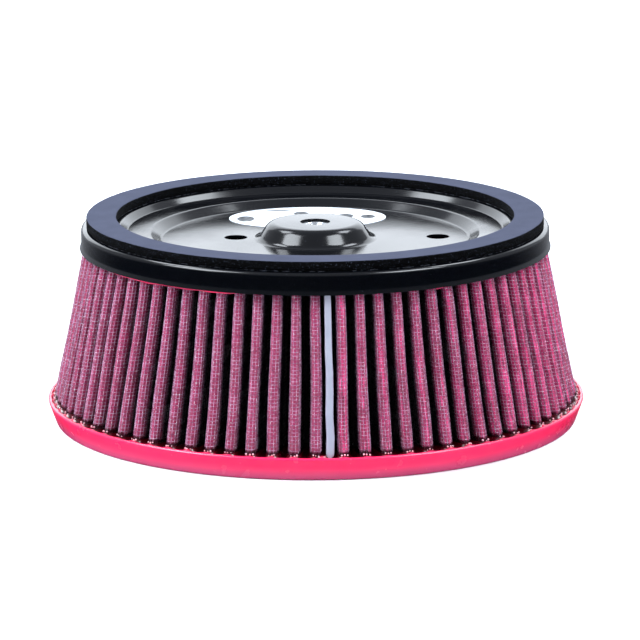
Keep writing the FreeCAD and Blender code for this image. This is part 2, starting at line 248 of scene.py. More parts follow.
def swept(name: str, radius: np.ndarray, height: np.ndarray, azimuth: np.ndarray,
          sharp: Optional[float] = 35.0, whole: bool = True) -> Any:
    """Sweeps a closed section round the axis.

    Args:
        name: The piece's name.
        radius: The section's radii in millimetres, one row for all azimuths or one for each.
        height: Its heights, likewise.
        azimuth: The sections' azimuths.
        sharp: As in mesh_piece.
        whole: As in tube_faces.

    Returns:
        The object.
    """
    every = np.ones((len(azimuth), 1))
    r, z = radius * every, height * every
    points = np.stack([r * np.sin(azimuth)[:, None], -r * np.cos(azimuth)[:, None], z], axis=2)
    return mesh_piece(name, points.reshape(-1, 3), tube_faces(len(azimuth), r.shape[1], whole), sharp)


def full_turn(steps: int) -> np.ndarray:
    """Evenly spaced angles round a whole turn."""
    return np.linspace(0, 2 * math.pi, steps, endpoint=False)


def rounded(corners: list[tuple[float, float, float]], steps: int = 6) -> list[tuple[float, float]]:
    """Rounds the corners of an open outline and puts a point beside each round, for even shading.

    Args:
        corners: Each corner's radius from the axis, its height and its round.
        steps: How many runs each round has.

    Returns:
        The outline's points.
    """
    line: list[tuple[float, float]] = [corners[0][:2]]
    for before, corner, after in zip(corners, corners[1:], corners[2:]):
        at, back, on = (Vector(c[:2]) for c in (corner, before, after))
        u, v = (back - at).normalized(), (on - at).normalized()
        half = math.acos(max(-1.0, min(1.0, u.dot(v)))) / 2
        reach = corner[2] / math.tan(half)
        centre = at + (u + v).normalized() * (corner[2] / math.sin(half))
        start, end = at + u * reach, at + v * reach
        a, b = start - centre, end - centre
        turn = a.angle_signed(b)
        for k in range(steps + 1):
            arm = Vector((a.x, a.y))
            arm.rotate(Matrix.Rotation(-turn * k / steps, 2))
            line.append(tuple(centre + arm))
    line.append(corners[-1][:2])
    return line


def offset(line: list[tuple[float, float]], gauge: float) -> list[tuple[float, float]]:
    """Moves an open outline sideways, to the right of its own direction, by a sheet's gauge.

    Args:
        line: The outline's points.
        gauge: How far it moves.

    Returns:
        The moved points.
    """
    points = np.array(line)
    along = np.gradient(points, axis=0)
    along /= np.linalg.norm(along, axis=1)[:, None]
    side = np.stack([along[:, 1], -along[:, 0]], axis=1)
    return [tuple(p) for p in points + side * gauge]


def uneven(rng: np.random.Generator, steps: int, every: int) -> np.ndarray:
    """Random values from -1 to 1 at every few steps, with straight runs between them.

    Args:
        rng: Where the values are drawn.
        steps: How many values come back.
        every: How many steps apart the drawn ones are.

    Returns:
        The values.
    """
    knots = np.arange(0, steps + every, every)
    return np.interp(np.arange(steps), knots, rng.uniform(-1, 1, len(knots)))


def dress(piece: Any, material: bpy.types.Material) -> None:
    """Gives a piece one material in place of any it has."""
    piece.data.materials.clear()
    piece.data.materials.append(material)


def enrol(piece: Any, slot: str, *nodes: str) -> None:
    """Tells the frame where a piece belongs.

    Args:
        piece: The object.
        slot: The record's material slot name; not used.
        nodes: The CAD nodes that it stands for.
    """
    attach(piece, BODY)
    if nodes:
        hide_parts(*nodes)
    log.info("%s: %d faces", piece.name, len(piece.data.polygons))


# ---------------------------------------------------------------- finishes

class Surface(Graph):
    """A new material with its Principled shader and its object coordinates at hand."""

    def __init__(self, name: str) -> None:
        """Starts the material.

        Args:
            name: The material's name.
        """
        self.material = bpy.data.materials.new(name)
        self.material.use_nodes = True
        super().__init__(self.material.node_tree)
        self.shader = next(n for n in self.tree.nodes if n.type == "BSDF_PRINCIPLED")
        self.place = self.add("ShaderNodeTexCoord").outputs["Object"]

    def set(self, **inputs: Any) -> None:
        """Sets or links the shader's inputs.

        Args:
            inputs: Values, sRGB hex colours or sockets by input name, with underscores for spaces.
        """
        for name, value in inputs.items():
            socket = self.shader.inputs[name.replace("_", " ")]
            if isinstance(value, bpy.types.NodeSocket):
                self.tree.links.new(value, socket)
            else:
                socket.default_value = linear(value) if isinstance(value, str) else value

    def noise(self, size_mm: float, detail: float = 2.0, seed: float = 0.0,
              at: Optional[Socket] = None) -> Socket:
        """Adds a noise whose features are about size_mm across.

        Args:
            size_mm: The size of its features.
            detail: Its finer layers.
            seed: Which pattern of many.
            at: Where it is read, in metres. None takes the object coordinates.

        Returns:
            The noise's socket, about 0.5 on average.
        """
        where = self.place if at is None else at
        return self.add("ShaderNodeTexNoise", {"noise_dimensions": "4D"}, {
            "Vector": where, "W": seed, "Scale": 1 / (size_mm * MM), "Detail": detail}).outputs[0]

    def bump(self, height: Socket, depth_mm: float, strength: float = 1.0) -> None:
        """Raises the surface by a height pattern.

        Args:
            height: The pattern, 0 to 1.
            depth_mm: How deep it is.
            strength: How strongly it shows.
        """
        node = self.add("ShaderNodeBump", {}, {
            "Strength": strength, "Distance": depth_mm * MM, "Height": height})
        self.tree.links.new(node.outputs[0], self.shader.inputs["Normal"])

    def split(self) -> tuple[Socket, Socket, Socket]:
        """The object coordinates' x, y and z."""
        x, y, z = self.add("ShaderNodeSeparateXYZ", {}, {0: self.place}).outputs
        return x, y, z

    def fold_depth(self) -> Socket:
        """How deep in its fold a point of the pack lies, in millimetres."""
        return self.add("ShaderNodeAttribute", {"attribute_name": "depth"}).outputs["Fac"]

    def soaked(self) -> Socket:
        """How soaked with casting resin the pack is, 0 to 1, along an uneven line just above the base."""
        level = self.math("MULTIPLY_ADD", self.noise(1.6, 2.0, 17.0), -2.4 * MM, self.split()[2])
        return self.ramp(level, 8.3 * MM, 7.3 * MM)


@dataclass(frozen=True)
class CastPolyurethane:
    """Self-skinning red polyurethane, cast in a mould: glossy and slightly clear, with fine flow marks."""

    name: str = "cast_red_polyurethane"
    body: str = "#ee1f55"
    cloudy: str = "#ea2557"
    # painted shade towards the foot of the wall
    foot_shade: str = "#c24a72"
    # painted shade for the resin between the pleats; the resin drops put a pale painted highlight here
    # instead
    deep: str = "#4a030e"
    pool_z: float = 7.3
    gloss: float = 0.24

    def make(self) -> bpy.types.Material:
        """Builds the material.

        Returns:
            The material.
        """
        s = Surface(self.name)
        x, y, z = s.split()
        cloud = s.noise(14.0, 3.0, 1.0)
        fine = s.noise(0.9, 2.0, 4.0)
        tone = s.mix(s.ramp(cloud, 0.2, 0.8), self.body, self.cloudy)
        # painted shade: the wall turns darker and greyer towards its foot
        tone = s.mix(s.ramp(z, 5.2 * MM, 0.4 * MM), tone, self.foot_shade)
        flat = s.add("ShaderNodeCombineXYZ", {}, {0: x, 1: y}).outputs[0]
        radius = s.add("ShaderNodeVectorMath", {"operation": "LENGTH"}, {0: flat}).outputs[1]
        # painted shade: between the pleats, inside the lip and high on the casting, the resin is painted
        # near-black crimson for the shade deep in the gaps
        inside = s.ramp(radius, 0.0889, 0.0876)
        above = s.ramp(z, (self.pool_z - 1.3) * MM, (self.pool_z - 0.6) * MM)
        s.set(Base_Color=s.mix(s.math("MULTIPLY", inside, above), tone, self.deep),
              Roughness=s.ramp(s.noise(5.0, 4.0, 7.0), 0.2, 0.8, self.gloss - 0.03, self.gloss + 0.05),
              Subsurface_Weight=0.12, Subsurface_Scale=0.0015, IOR=1.49, Coat_Weight=0.15, Coat_Roughness=0.1)
        s.shader.inputs["Subsurface Radius"].default_value = (1.0, 0.2, 0.15)
        s.bump(fine, 0.03, 0.35)
        return s.material


@dataclass(frozen=True)
class GlossEnamel:
    """Black baked enamel on stamped steel: mirror-like, with a faint orange peel and dust."""

    name: str = "baked_black_enamel"
    coat: str = "#040508"
    dust: str = "#59616f"
    peel_mm: float = 2.6

    def make(self) -> bpy.types.Material:
        """Builds the material.

        Returns:
            The material.
        """
        s = Surface(self.name)
        peel = s.noise(self.peel_mm, 1.0, 2.0)
        smear = s.noise(22.0, 4.0, 5.0)
        grain = s.noise(0.5, 3.0, 9.0)
        specks = s.math("MULTIPLY", s.ramp(grain, 0.68, 0.76), 0.25)
        dull = s.math("ADD", smear, s.math("MULTIPLY", specks, 0.8))
        s.set(Base_Color=s.mix(specks, self.coat, self.dust), Roughness=s.ramp(dull, 0.35, 0.95, 0.12, 0.28),
              IOR=1.37)
        s.bump(peel, 0.02, 0.35)
        return s.material


@dataclass(frozen=True)
class ClosedCellFoam:
    """Black foam rubber sheet, die cut: its flat faces painted a dull grey for the reflection of the bright
    surroundings, open speckled cells on its cut sides.
    """

    name: str = "closed_cell_foam_rubber"
    face_reflection: str = "#45495a"
    face_reflection_dark: str = "#383b4a"
    cut: str = "#010102"
    cell_edge: str = "#5d6475"
    cell_mm: float = 0.55

    def make(self) -> bpy.types.Material:
        """Builds the material.

        Returns:
            The material.
        """
        s = Surface(self.name)
        normal = s.add("ShaderNodeNewGeometry").outputs["Normal"]
        facing = s.add("ShaderNodeSeparateXYZ", {}, {0: normal}).outputs[2]
        level = s.ramp(s.math("ABSOLUTE", facing), 0.55, 0.85)
        cells = s.add("ShaderNodeTexVoronoi", {"feature": "DISTANCE_TO_EDGE"},
                      {"Vector": s.place, "Scale": 1 / (self.cell_mm * MM)}).outputs["Distance"]
        speck = s.math("MULTIPLY", s.ramp(s.noise(0.4, 2.0, 3.0), 0.6, 0.7), 0.42)
        # painted reflection: faces that point up or down are painted the grey of the bright surroundings
        # reflected in them; the cut sides keep the foam's own black
        face_reflection = s.mix(s.noise(7.0, 4.0, 6.0), self.face_reflection, self.face_reflection_dark)
        cut = s.mix(speck, self.cut, self.cell_edge)
        s.set(Base_Color=s.mix(level, cut, face_reflection), Roughness=s.ramp(level, 0, 1, 0.62, 0.88),
              Specular_IOR_Level=0.06)
        deep = s.math("MULTIPLY", s.ramp(cells, 0.0, 0.25, 1.0, 0.0), s.ramp(level, 0, 1, 1.0, 0.18))
        s.bump(s.math("ADD", deep, s.math("MULTIPLY", speck, 0.6)), 0.18, 0.8)
        return s.material


@dataclass(frozen=True)
class CoatedWire:
    """Woven aluminium wire in a thin pinkish coat, stained in patches: bright where it turns over, with
    painted shade deep in the folds and painted glints.
    """

    name: str = "epoxy_coated_aluminium_wire"
    crown: str = "#d8a6c8"
    glint: str = "#fbf4ff"
    stain: str = "#a43a6a"
    shade: str = "#08060a"

    def make(self) -> bpy.types.Material:
        """Builds the material.

        Returns:
            The material.
        """
        s = Surface(self.name)
        depth = s.fold_depth()
        patch = s.ramp(s.noise(2.2, 3.0, 11.0), 0.36, 0.66)
        tone = s.mix(s.math("MULTIPLY", patch, 0.7), self.crown, self.stain)
        # painted glints: small near-white spots on the wire stand in for its sparkle in the light
        glint_spots = s.ramp(s.noise(0.5, 1.0, 23.0), 0.58, 0.66)
        tone = s.mix(s.math("MULTIPLY", glint_spots, 0.85), tone, self.glint)
        soaked = s.soaked()
        tone = s.mix(soaked, tone, RESIN_SOAKED)
        rough = s.ramp(s.noise(0.9, 2.0, 2.0), 0.35, 0.65, 0.16, 0.5)
        s.set(Base_Color=s.mix(s.ramp(depth, 1.2, 4.0), tone, self.shade),
              Metallic=0.4, Roughness=s.blend(soaked, rough, 0.1))
        s.bump(s.noise(0.4, 1.0, 8.0), 0.05, 0.6)
        return s.material


@dataclass(frozen=True)
class OiledGauze:
    """Open plain-weave cotton gauze, wet with red oil: threads about 0.6 mm apart, with painted shade
    darkening it in the folds.
    """

    name: str
    seed: float
    thread: str = "#e0407e"
    gap: str = "#86183e"
    pool: str = "#c02a60"
    shade: str = "#060306"
    thread_mm: float = 0.58
    dark_from: float = 1.3
    dark_to: float = 4.2

    def make(self) -> bpy.types.Material:
        """Builds the material.

        Returns:
            The material.
        """
        s = Surface(self.name)
        lay = s.add("ShaderNodeUVMap", {"uv_map": "UVMap"}).outputs[0]
        stray = s.add("ShaderNodeTexNoise", {}, {"Vector": lay, "Scale": 1 / (3.0 * MM)}).outputs[1]
        place = s.vector("ADD", lay, s.vector("SCALE", stray, scale=0.2 * MM))
        thread_turn = math.pi / (self.thread_mm * MM)
        waves = [s.math("ABSOLUTE", s.math("SINE", s.math("MULTIPLY", way, thread_turn)))
                 for way in s.add("ShaderNodeSeparateXYZ", {}, {0: place}).outputs[:2]]
        weave = s.math("MAXIMUM", *waves)
        wet = s.ramp(s.noise(9.0, 3.0, self.seed), 0.35, 0.65)
        thread = s.mix(wet, self.thread, self.pool)
        tone = s.mix(s.ramp(weave, 0.55, 0.9), self.gap, thread)
        soaked = s.soaked()
        tone = s.mix(soaked, tone, RESIN_SOAKED)
        depth = s.fold_depth()
        s.set(Base_Color=s.mix(s.ramp(depth, self.dark_from, self.dark_to), tone, self.shade),
              Roughness=s.blend(soaked, s.ramp(wet, 0, 1, 0.62, 0.38), 0.12),
              Sheen_Weight=0.12, Sheen_Roughness=0.4)
        s.bump(weave, 0.16, 0.8)
        return s.material


@dataclass(frozen=True)
class ZincPlate:
    """Bright zinc on a cold-formed nut: a fine grey sparkle and light handling marks."""

    name: str = "bright_zinc_plate"
    metal: str = "#c9cccf"
    dull: str = "#9da2a8"

    def make(self) -> bpy.types.Material:
        """Builds the material.

        Returns:
            The material.
        """
        s = Surface(self.name)
        patch = s.noise(2.5, 4.0, 1.0)
        s.set(Base_Color=s.mix(patch, self.metal, self.dull), Metallic=1.0,
              Roughness=s.ramp(patch, 0.3, 0.7, 0.2, 0.42))
        s.bump(s.noise(0.25, 2.0, 3.0), 0.02, 0.5)
        return s.material


@dataclass(frozen=True)
class RolledAluminium:
    """Bare rolled aluminium strip: satin, with rolling lines along its length."""

    name: str = "bare_rolled_aluminium"
    metal: str = "#dcdcec"
    dull: str = "#b4b6cc"

    def make(self) -> bpy.types.Material:
        """Builds the material.

        Returns:
            The material.
        """
        s = Surface(self.name)
        lines = s.add("ShaderNodeMapping", {}, {"Vector": s.place, "Scale": (1.0, 1.0, 0.04)}).outputs[0]
        grain = s.noise(0.18, 2.0, 5.0, lines)
        cloud = s.noise(8.0, 2.0, 2.0)
        s.set(Base_Color=s.mix(cloud, self.metal, self.dull), Metallic=0.55,
              Roughness=s.ramp(grain, 0.3, 0.7, 0.3, 0.5))
        s.bump(grain, 0.02, 0.4)
        return s.material


@dataclass(frozen=True)
class PrintedVinyl:
    """White vinyl label with a plain dark print of dots and bars, a thin border line and a gloss film."""

    name: str = "printed_white_vinyl"
    white: str = "#d0d6de"
    ink: str = "#12151b"
    line: str = "#b9bec8"
    centre: tuple[float, float] = (-2.6, 32.9)
    half: tuple[float, float] = (26.7, 17.6)
    # each mark's centre and its half sizes across and away from the middle of the plate
    marks: tuple[tuple[float, float, float, float], ...] = (
        (-23.6, 31.0, 3.0, 4.6), (-4.8, 39.6, 2.5, 3.2), (-12.5, 45.2, 4.6, 0.9), (10.4, 35.4, 2.8, 3.4),
        (18.0, 34.2, 2.5, 3.2))

    def make(self) -> bpy.types.Material:
        """Builds the material.

        Returns:
            The material.
        """
        s = Surface(self.name)
        x, y, _ = s.split()

        def oval(cx: float, cy: float, rx: float, ry: float) -> Socket:
            """How far a point is from an oval's centre, in the oval's own radii.

            Args:
                cx: The centre across.
                cy: The centre from front to back.
                rx: The radius across.
                ry: The radius from front to back.

            Returns:
                The distance's socket.
            """
            u = s.math("MULTIPLY", s.math("SUBTRACT", x, cx * MM), 1 / (rx * MM))
            v = s.math("MULTIPLY", s.math("SUBTRACT", y, cy * MM), 1 / (ry * MM))
            return s.math("SQRT", s.math("ADD", s.math("MULTIPLY", u, u), s.math("MULTIPLY", v, v)))

        printed: Any = 0.0
        for mark in self.marks:
            printed = s.math("MAXIMUM", printed, s.ramp(oval(*mark), 1.06, 0.9))
        edge = oval(*self.centre, *self.half)
        border = s.math("MULTIPLY", s.ramp(edge, 0.885, 0.895), s.ramp(edge, 0.925, 0.915))
        paper = s.mix(border, self.white, self.line)
        worn = s.ramp(s.noise(1.6, 4.0, 5.0), 0.3, 0.75, 1.0, 0.8)
        s.set(Base_Color=s.mix(s.math("MULTIPLY", printed, worn), paper, self.ink),
              Roughness=s.ramp(s.noise(4.0, 3.0, 1.0), 0.3, 0.7, 0.32, 0.48),
              Specular_IOR_Level=0.12)
        s.bump(s.noise(3.0, 2.0, 2.0), 0.02, 0.5)
        return s.material


@dataclass(frozen=True)
class AdhesiveFilm:
    """Thin clear-grey adhesive film with ragged, brighter edges, painted as a broken highlight."""

    name: str = "acrylic_adhesive_film"
    film: str = "#aab0bc"
    dark: str = "#2a2e36"

    def make(self) -> bpy.types.Material:
        """Builds the material.

        Returns:
            The material.
        """
        s = Surface(self.name)
        # painted highlight: ragged pale patches stand in for a broken bright line of reflected light under
        # the gasket
        ragged = s.ramp(s.noise(1.8, 3.0, 4.0), 0.48, 0.58)
        s.set(Base_Color=s.mix(ragged, self.dark, self.film),
              Roughness=s.ramp(ragged, 0, 1, 0.5, 0.22))
        s.bump(s.noise(0.8, 2.0, 1.0), 0.05, 0.6)
        return s.material


@dataclass(frozen=True)
class StudioFloor:
    """Plain matt pale board."""

    name: str = "matt_white_board"
    tone: str = "#f6f7f8"

    def make(self) -> bpy.types.Material:
        """Builds the material.

        Returns:
            The material.
        """
        s = Surface(self.name)
        s.set(Base_Color=self.tone, Roughness=0.85, Specular_IOR_Level=0.1)
        return s.material


# ---------------------------------------------------------------- the folded pack

class Wires(Enum):
    """Which way a screen's wires run: rings that weave along the folds, or posts from foot to head."""

    RINGS = 0
    POSTS = 1


def compass(azimuth: float) -> tuple[Vector, Vector]:
    """The directions away from the axis and across that, at an azimuth."""
    return Vector((math.sin(azimuth), -math.cos(azimuth))), Vector((math.cos(azimuth), math.sin(azimuth)))


@dataclass
class Fold:
    """One round of the folded path: a crest, which points outwards, or a valley."""

    azimuth: float
    radius: float
    lateral: float
    size: float
    kind: int

    def centre(self) -> Vector:
        """The round's centre in the plane."""
        out, across = compass(self.azimuth)
        return out * self.radius + across * self.lateral


@dataclass
class PackEnd:
    """The folded path's sizes at the pack's foot or head."""

    height: float
    crest_radius: float
    crest_fold: float
    valley_fold: float


def tangents(first: Vector, size_a: float, kind_a: int, second: Vector, size_b: float,
             kind_b: int) -> tuple[Vector, Vector]:
    """The ends of the straight flank that joins two rounds.

    Args:
        first: The first round's centre.
        size_a: Its radius.
        kind_a: 1 for a crest, -1 for a valley.
        second: The second round's centre.
        size_b: Its radius.
        kind_b: 1 for a crest, -1 for a valley.

    Returns:
        Where the flank leaves the first round and where it meets the second.
    """
    along = second - first
    turn = kind_a * math.asin((size_a + size_b) / along.length) if kind_a != kind_b else 0.0
    way = along.normalized()
    way = Vector((way.x * math.cos(turn) - way.y * math.sin(turn),
                  way.x * math.sin(turn) + way.y * math.cos(turn)))
    left = Vector((-way.y, way.x))
    return first - left * (kind_a * size_a), second - left * (kind_b * size_b)


def arc(centre: Vector, start: Vector, end: Vector, steps: int) -> list[Vector]:
    """Points on the shorter arc between two points round a centre, both ends included.

    Args:
        centre: The arc's centre.
        start: Its first point.
        end: Its last point.
        steps: How many runs it has.

    Returns:
        The points.
    """
    a, b = start - centre, end - centre
    from_angle = math.atan2(a.y, a.x)
    turn = (math.atan2(b.y, b.x) - from_angle + math.pi) % (2 * math.pi) - math.pi
    angles = [from_angle + turn * k / steps for k in range(steps + 1)]
    return [centre + Vector((math.cos(angle), math.sin(angle))) * a.length for angle in angles]


@dataclass
class FoldedPack:
    """The pleated pack: two woven wire screens with four plies of gauze between them."""

    pleats: int = 77
    foot: PackEnd = field(default_factory=lambda: PackEnd(5.5, 88.2, 1.95, 1.75))
    head: PackEnd = field(default_factory=lambda: PackEnd(61.5, 76.5, 1.55, 1.64))
    pleat_depth: float = 15.0
    gauge: float = 1.36
    screen_gauge: float = 0.25
    ply_gauge: float = 0.14
    gap: float = 0.06
    seam_azimuth: float = SEAM_AZIMUTH
    seam_side: float = 1.87
    seam_fold: float = 0.15
    end_inset: float = 0.5
    end_run: float = 3.05
    end_side: float = 0.55
    mesh_mm: float = 1.15
    wire_mm: float = 0.22
    wobble_mm: float = 1.1
    wobble_size_mm: float = 13.0
    ring_rows: int = 48
    ring_parts: int = 3

    @property
    def height(self) -> float:
        """How far the head is above the foot."""
        return self.head.height - self.foot.height

    @property
    def taper(self) -> float:
        """How much nearer the axis the crests are at the head."""
        return self.foot.crest_radius - self.head.crest_radius

    def azimuth(self, number: float) -> float:
        """The direction of a crest, or of a valley at a half number."""
        first = 2 * self.seam_azimuth
        return first + (2 * math.pi - first) / (self.pleats - 1) * number

    def folds(self, end: PackEnd) -> list[Fold]:
        """The rounds of the outer face's path, from one side of the seam round to the other.

        Args:
            end: The pack's foot or head.

        Returns:
            The rounds in order.
        """
        crest = end.crest_radius - end.crest_fold
        valley = end.crest_radius - self.pleat_depth + end.valley_fold
        seam_radius = end.crest_radius - self.pleat_depth + self.seam_fold + self.gauge
        rounds = [Fold(self.seam_azimuth, seam_radius, self.seam_side, self.seam_fold, -1)]
        for number in range(self.pleats):
            if number:
                rounds.append(Fold(self.azimuth(number - 0.5), valley, 0.0, end.valley_fold - self.gauge, -1))
            rounds.append(Fold(self.azimuth(number), crest, 0.0, end.crest_fold, 1))
        rounds.append(Fold(self.seam_azimuth + 2 * math.pi, seam_radius, -self.seam_side, self.seam_fold, -1))
        return rounds

    def halves(self, end: PackEnd, depth: float, crest_steps: int, valley_steps: int) -> list[list[Vector]]:
        """The path at a depth below the outer face, as runs from the middle of one fold to the next.

        Args:
            end: The pack's foot or head.
            depth: How far below the outer face.
            crest_steps: The runs in half a crest.
            valley_steps: The runs in half a valley.

        Returns:
            One list of points for each run.
        """
        rounds = self.folds(end)
        sizes = [f.size - f.kind * depth for f in rounds]
        centres = [f.centre() for f in rounds]
        middles = [c + c.normalized() * (f.kind * s) for c, f, s in zip(centres, rounds, sizes)]
        runs = []
        for k in range(len(rounds) - 1):
            leave, meet = tangents(centres[k], sizes[k], rounds[k].kind, centres[k + 1], sizes[k + 1],
                                   rounds[k + 1].kind)
            steps = [crest_steps if rounds[i].kind > 0 else valley_steps for i in (k, k + 1)]
            runs.append(arc(centres[k], middles[k], leave, steps[0])
                        + arc(centres[k + 1], meet, middles[k + 1], steps[1]))
        return runs

    def seam_end(self, end: PackEnd, depth: float, side: int) -> list[Vector]:
        """The straight run of an end inside the seam strip, from its tip inwards.

        Args:
            end: The pack's foot or head.
            depth: How far below the outer face.
            side: 1 for the path's start, -1 for its end.

        Returns:
            The tip and the inner end of the run.
        """
        out, across = compass(self.seam_azimuth)
        lateral = side * (0.03 + (self.gauge - depth) * self.end_side / self.gauge)
        tip = end.crest_radius - self.end_inset
        return [out * r + across * lateral for r in (tip, tip - self.end_run)]

    def path(self, depth: float, shares: Optional[list[float]]) -> dict[str, np.ndarray]:
        """A path of points at the pack's foot, with where each goes at the head.

        Args:
            depth: How far below the outer face.
            shares: Where along each half pleat, from crest to valley, the points are. None takes the
                folds' own points.

        Returns:
            Rows of foot, head and out vectors, and the numbers run and depth, all in metres or mm deep.
        """
        ends = []
        for end in (self.foot, self.head):
            line: list[Vector] = self.seam_end(end, depth, 1)
            for number, run in enumerate(self.halves(end, depth, 4, 3)):
                if shares is None:
                    line += run[:-1]
                else:
                    points = np.array([tuple(p) for p in run])
                    along = np.concatenate([[0], np.cumsum(np.linalg.norm(np.diff(points, axis=0), axis=1))])
                    at = np.array(shares) * along[-1]
                    if number % 2 == 0:  # a run that climbs from a valley to a crest
                        at = along[-1] - at[::-1]
                    line += [Vector((np.interp(a, along, points[:, 0]), np.interp(a, along, points[:, 1])))
                             for a in at]
            line += [run[-1]] if shares is None else []
            line += self.seam_end(end, depth, -1)[::-1]
            flat = np.array([tuple(p) for p in line])
            ends.append(np.column_stack([flat, np.full(len(flat), end.height)]))
        foot, head = ends
        way = np.gradient(foot[:, :2], axis=0)
        way /= np.maximum(np.linalg.norm(way, axis=1), 1e-9)[:, None]
        out = np.column_stack([way[:, 1], -way[:, 0], np.zeros(len(way))])
        run = np.concatenate([[0], np.cumsum(np.linalg.norm(np.diff(foot, axis=0), axis=1))])
        deep = self.foot.crest_radius - np.linalg.norm(foot[:, :2], axis=1)
        return {"foot": foot * MM, "head": head * MM, "out": out, "run": run * MM, "depth": deep}

    def carrier(self, name: str, path: dict[str, np.ndarray]) -> Any:
        """An object whose points carry a path and its attributes into the node tree.

        Args:
            name: The object's name.
            path: What path() returned.

        Returns:
            The object.
        """
        mesh = bpy.data.meshes.new(name)
        count = len(path["foot"])
        mesh.from_pydata(path["foot"].tolist(), [(i, i + 1) for i in range(count - 1)], [])
        for key in ("head", "out"):
            mesh.attributes.new(key, "FLOAT_VECTOR", "POINT").data.foreach_set("vector", path[key].ravel())
        for key in ("run", "depth"):
            mesh.attributes.new(key, "FLOAT", "POINT").data.foreach_set("value", path[key])
        piece = bpy.data.objects.new(name, mesh)
        bpy.context.scene.collection.objects.link(piece)
        return piece

    def shares(self, crossings: int, from_valley: bool) -> list[float]:
        """Where along half a pleat the wires cross, dense on the side that shows.

        Args:
            crossings: How many close crossings there are.
            from_valley: Whether they are at the valley, as on the inner screen.

        Returns:
            Shares of the half pleat from crest to valley.
        """
        step = self.mesh_mm / self.half_length()
        close = [step * (k + 0.5) for k in range(crossings)]
        return [0.0, 0.08] + [1 - c for c in reversed(close)] if from_valley else close + [0.93]

    def half_length(self) -> float:
        """The path's length from a crest to a valley, about."""
        return self.pleat_depth - 1.0 + 0.57 * self.foot.crest_fold


class PieceTree(Graph):
    """A node tree with named inputs, whose result becomes a plain piece."""

    INPUTS: dict[str, tuple[str, Any]] = {}

    def __init__(self, name: str) -> None:
        """Makes the tree and its inputs.

        Args:
            name: The tree's name.
        """
        super().__init__(bpy.data.node_groups.new(name, "GeometryNodeTree"))
        face = self.tree.interface
        face.new_socket("Geometry", in_out="INPUT", socket_type="NodeSocketGeometry")
        face.new_socket("Geometry", in_out="OUTPUT", socket_type="NodeSocketGeometry")
        self.keys: dict[str, str] = {}
        for label, (kind, default) in self.INPUTS.items():
            socket = face.new_socket(label, in_out="INPUT", socket_type=kind)
            if default is not None:
                socket.default_value = default
            self.keys[label] = socket.identifier
        self.way_in = self.add("NodeGroupInput")

    def given(self, label: str) -> Socket:
        """One of the tree's own inputs."""
        return self.way_in.outputs[label]

    def finish(self, shaped: Socket) -> None:
        """Smooths and paints the shape, makes its instances real and sends it out.

        Args:
            shaped: The shape's geometry.
        """
        smooth = self.add("GeometryNodeSetShadeSmooth", {}, {"Geometry": shaped})
        painted = self.add("GeometryNodeSetMaterial", {},
                           {"Geometry": smooth.outputs[0], "Material": self.given("Material")})
        real = self.add("GeometryNodeRealizeInstances", {}, {"Geometry": painted.outputs[0]})
        self.add("NodeGroupOutput", {}, {0: real.outputs[0]})

    def grow(self, carrier: Any, name: str, values: dict[str, Any]) -> Any:
        """Runs the tree on a path and turns what it makes into a plain piece.

        Args:
            carrier: The object with the path.
            name: The new piece's name.
            values: The tree's inputs by label.

        Returns:
            The piece.
        """
        modifier = carrier.modifiers.new("fold", "NODES")
        modifier.node_group = self.tree
        for label, value in values.items():
            modifier[self.keys[label]] = value
        ready = carrier.evaluated_get(bpy.context.evaluated_depsgraph_get())
        mesh = bpy.data.meshes.new_from_object(ready)
        mesh.name = name
        carrier.modifiers.clear()
        piece = bpy.data.objects.new(name, mesh)
        bpy.context.scene.collection.objects.link(piece)
        return piece


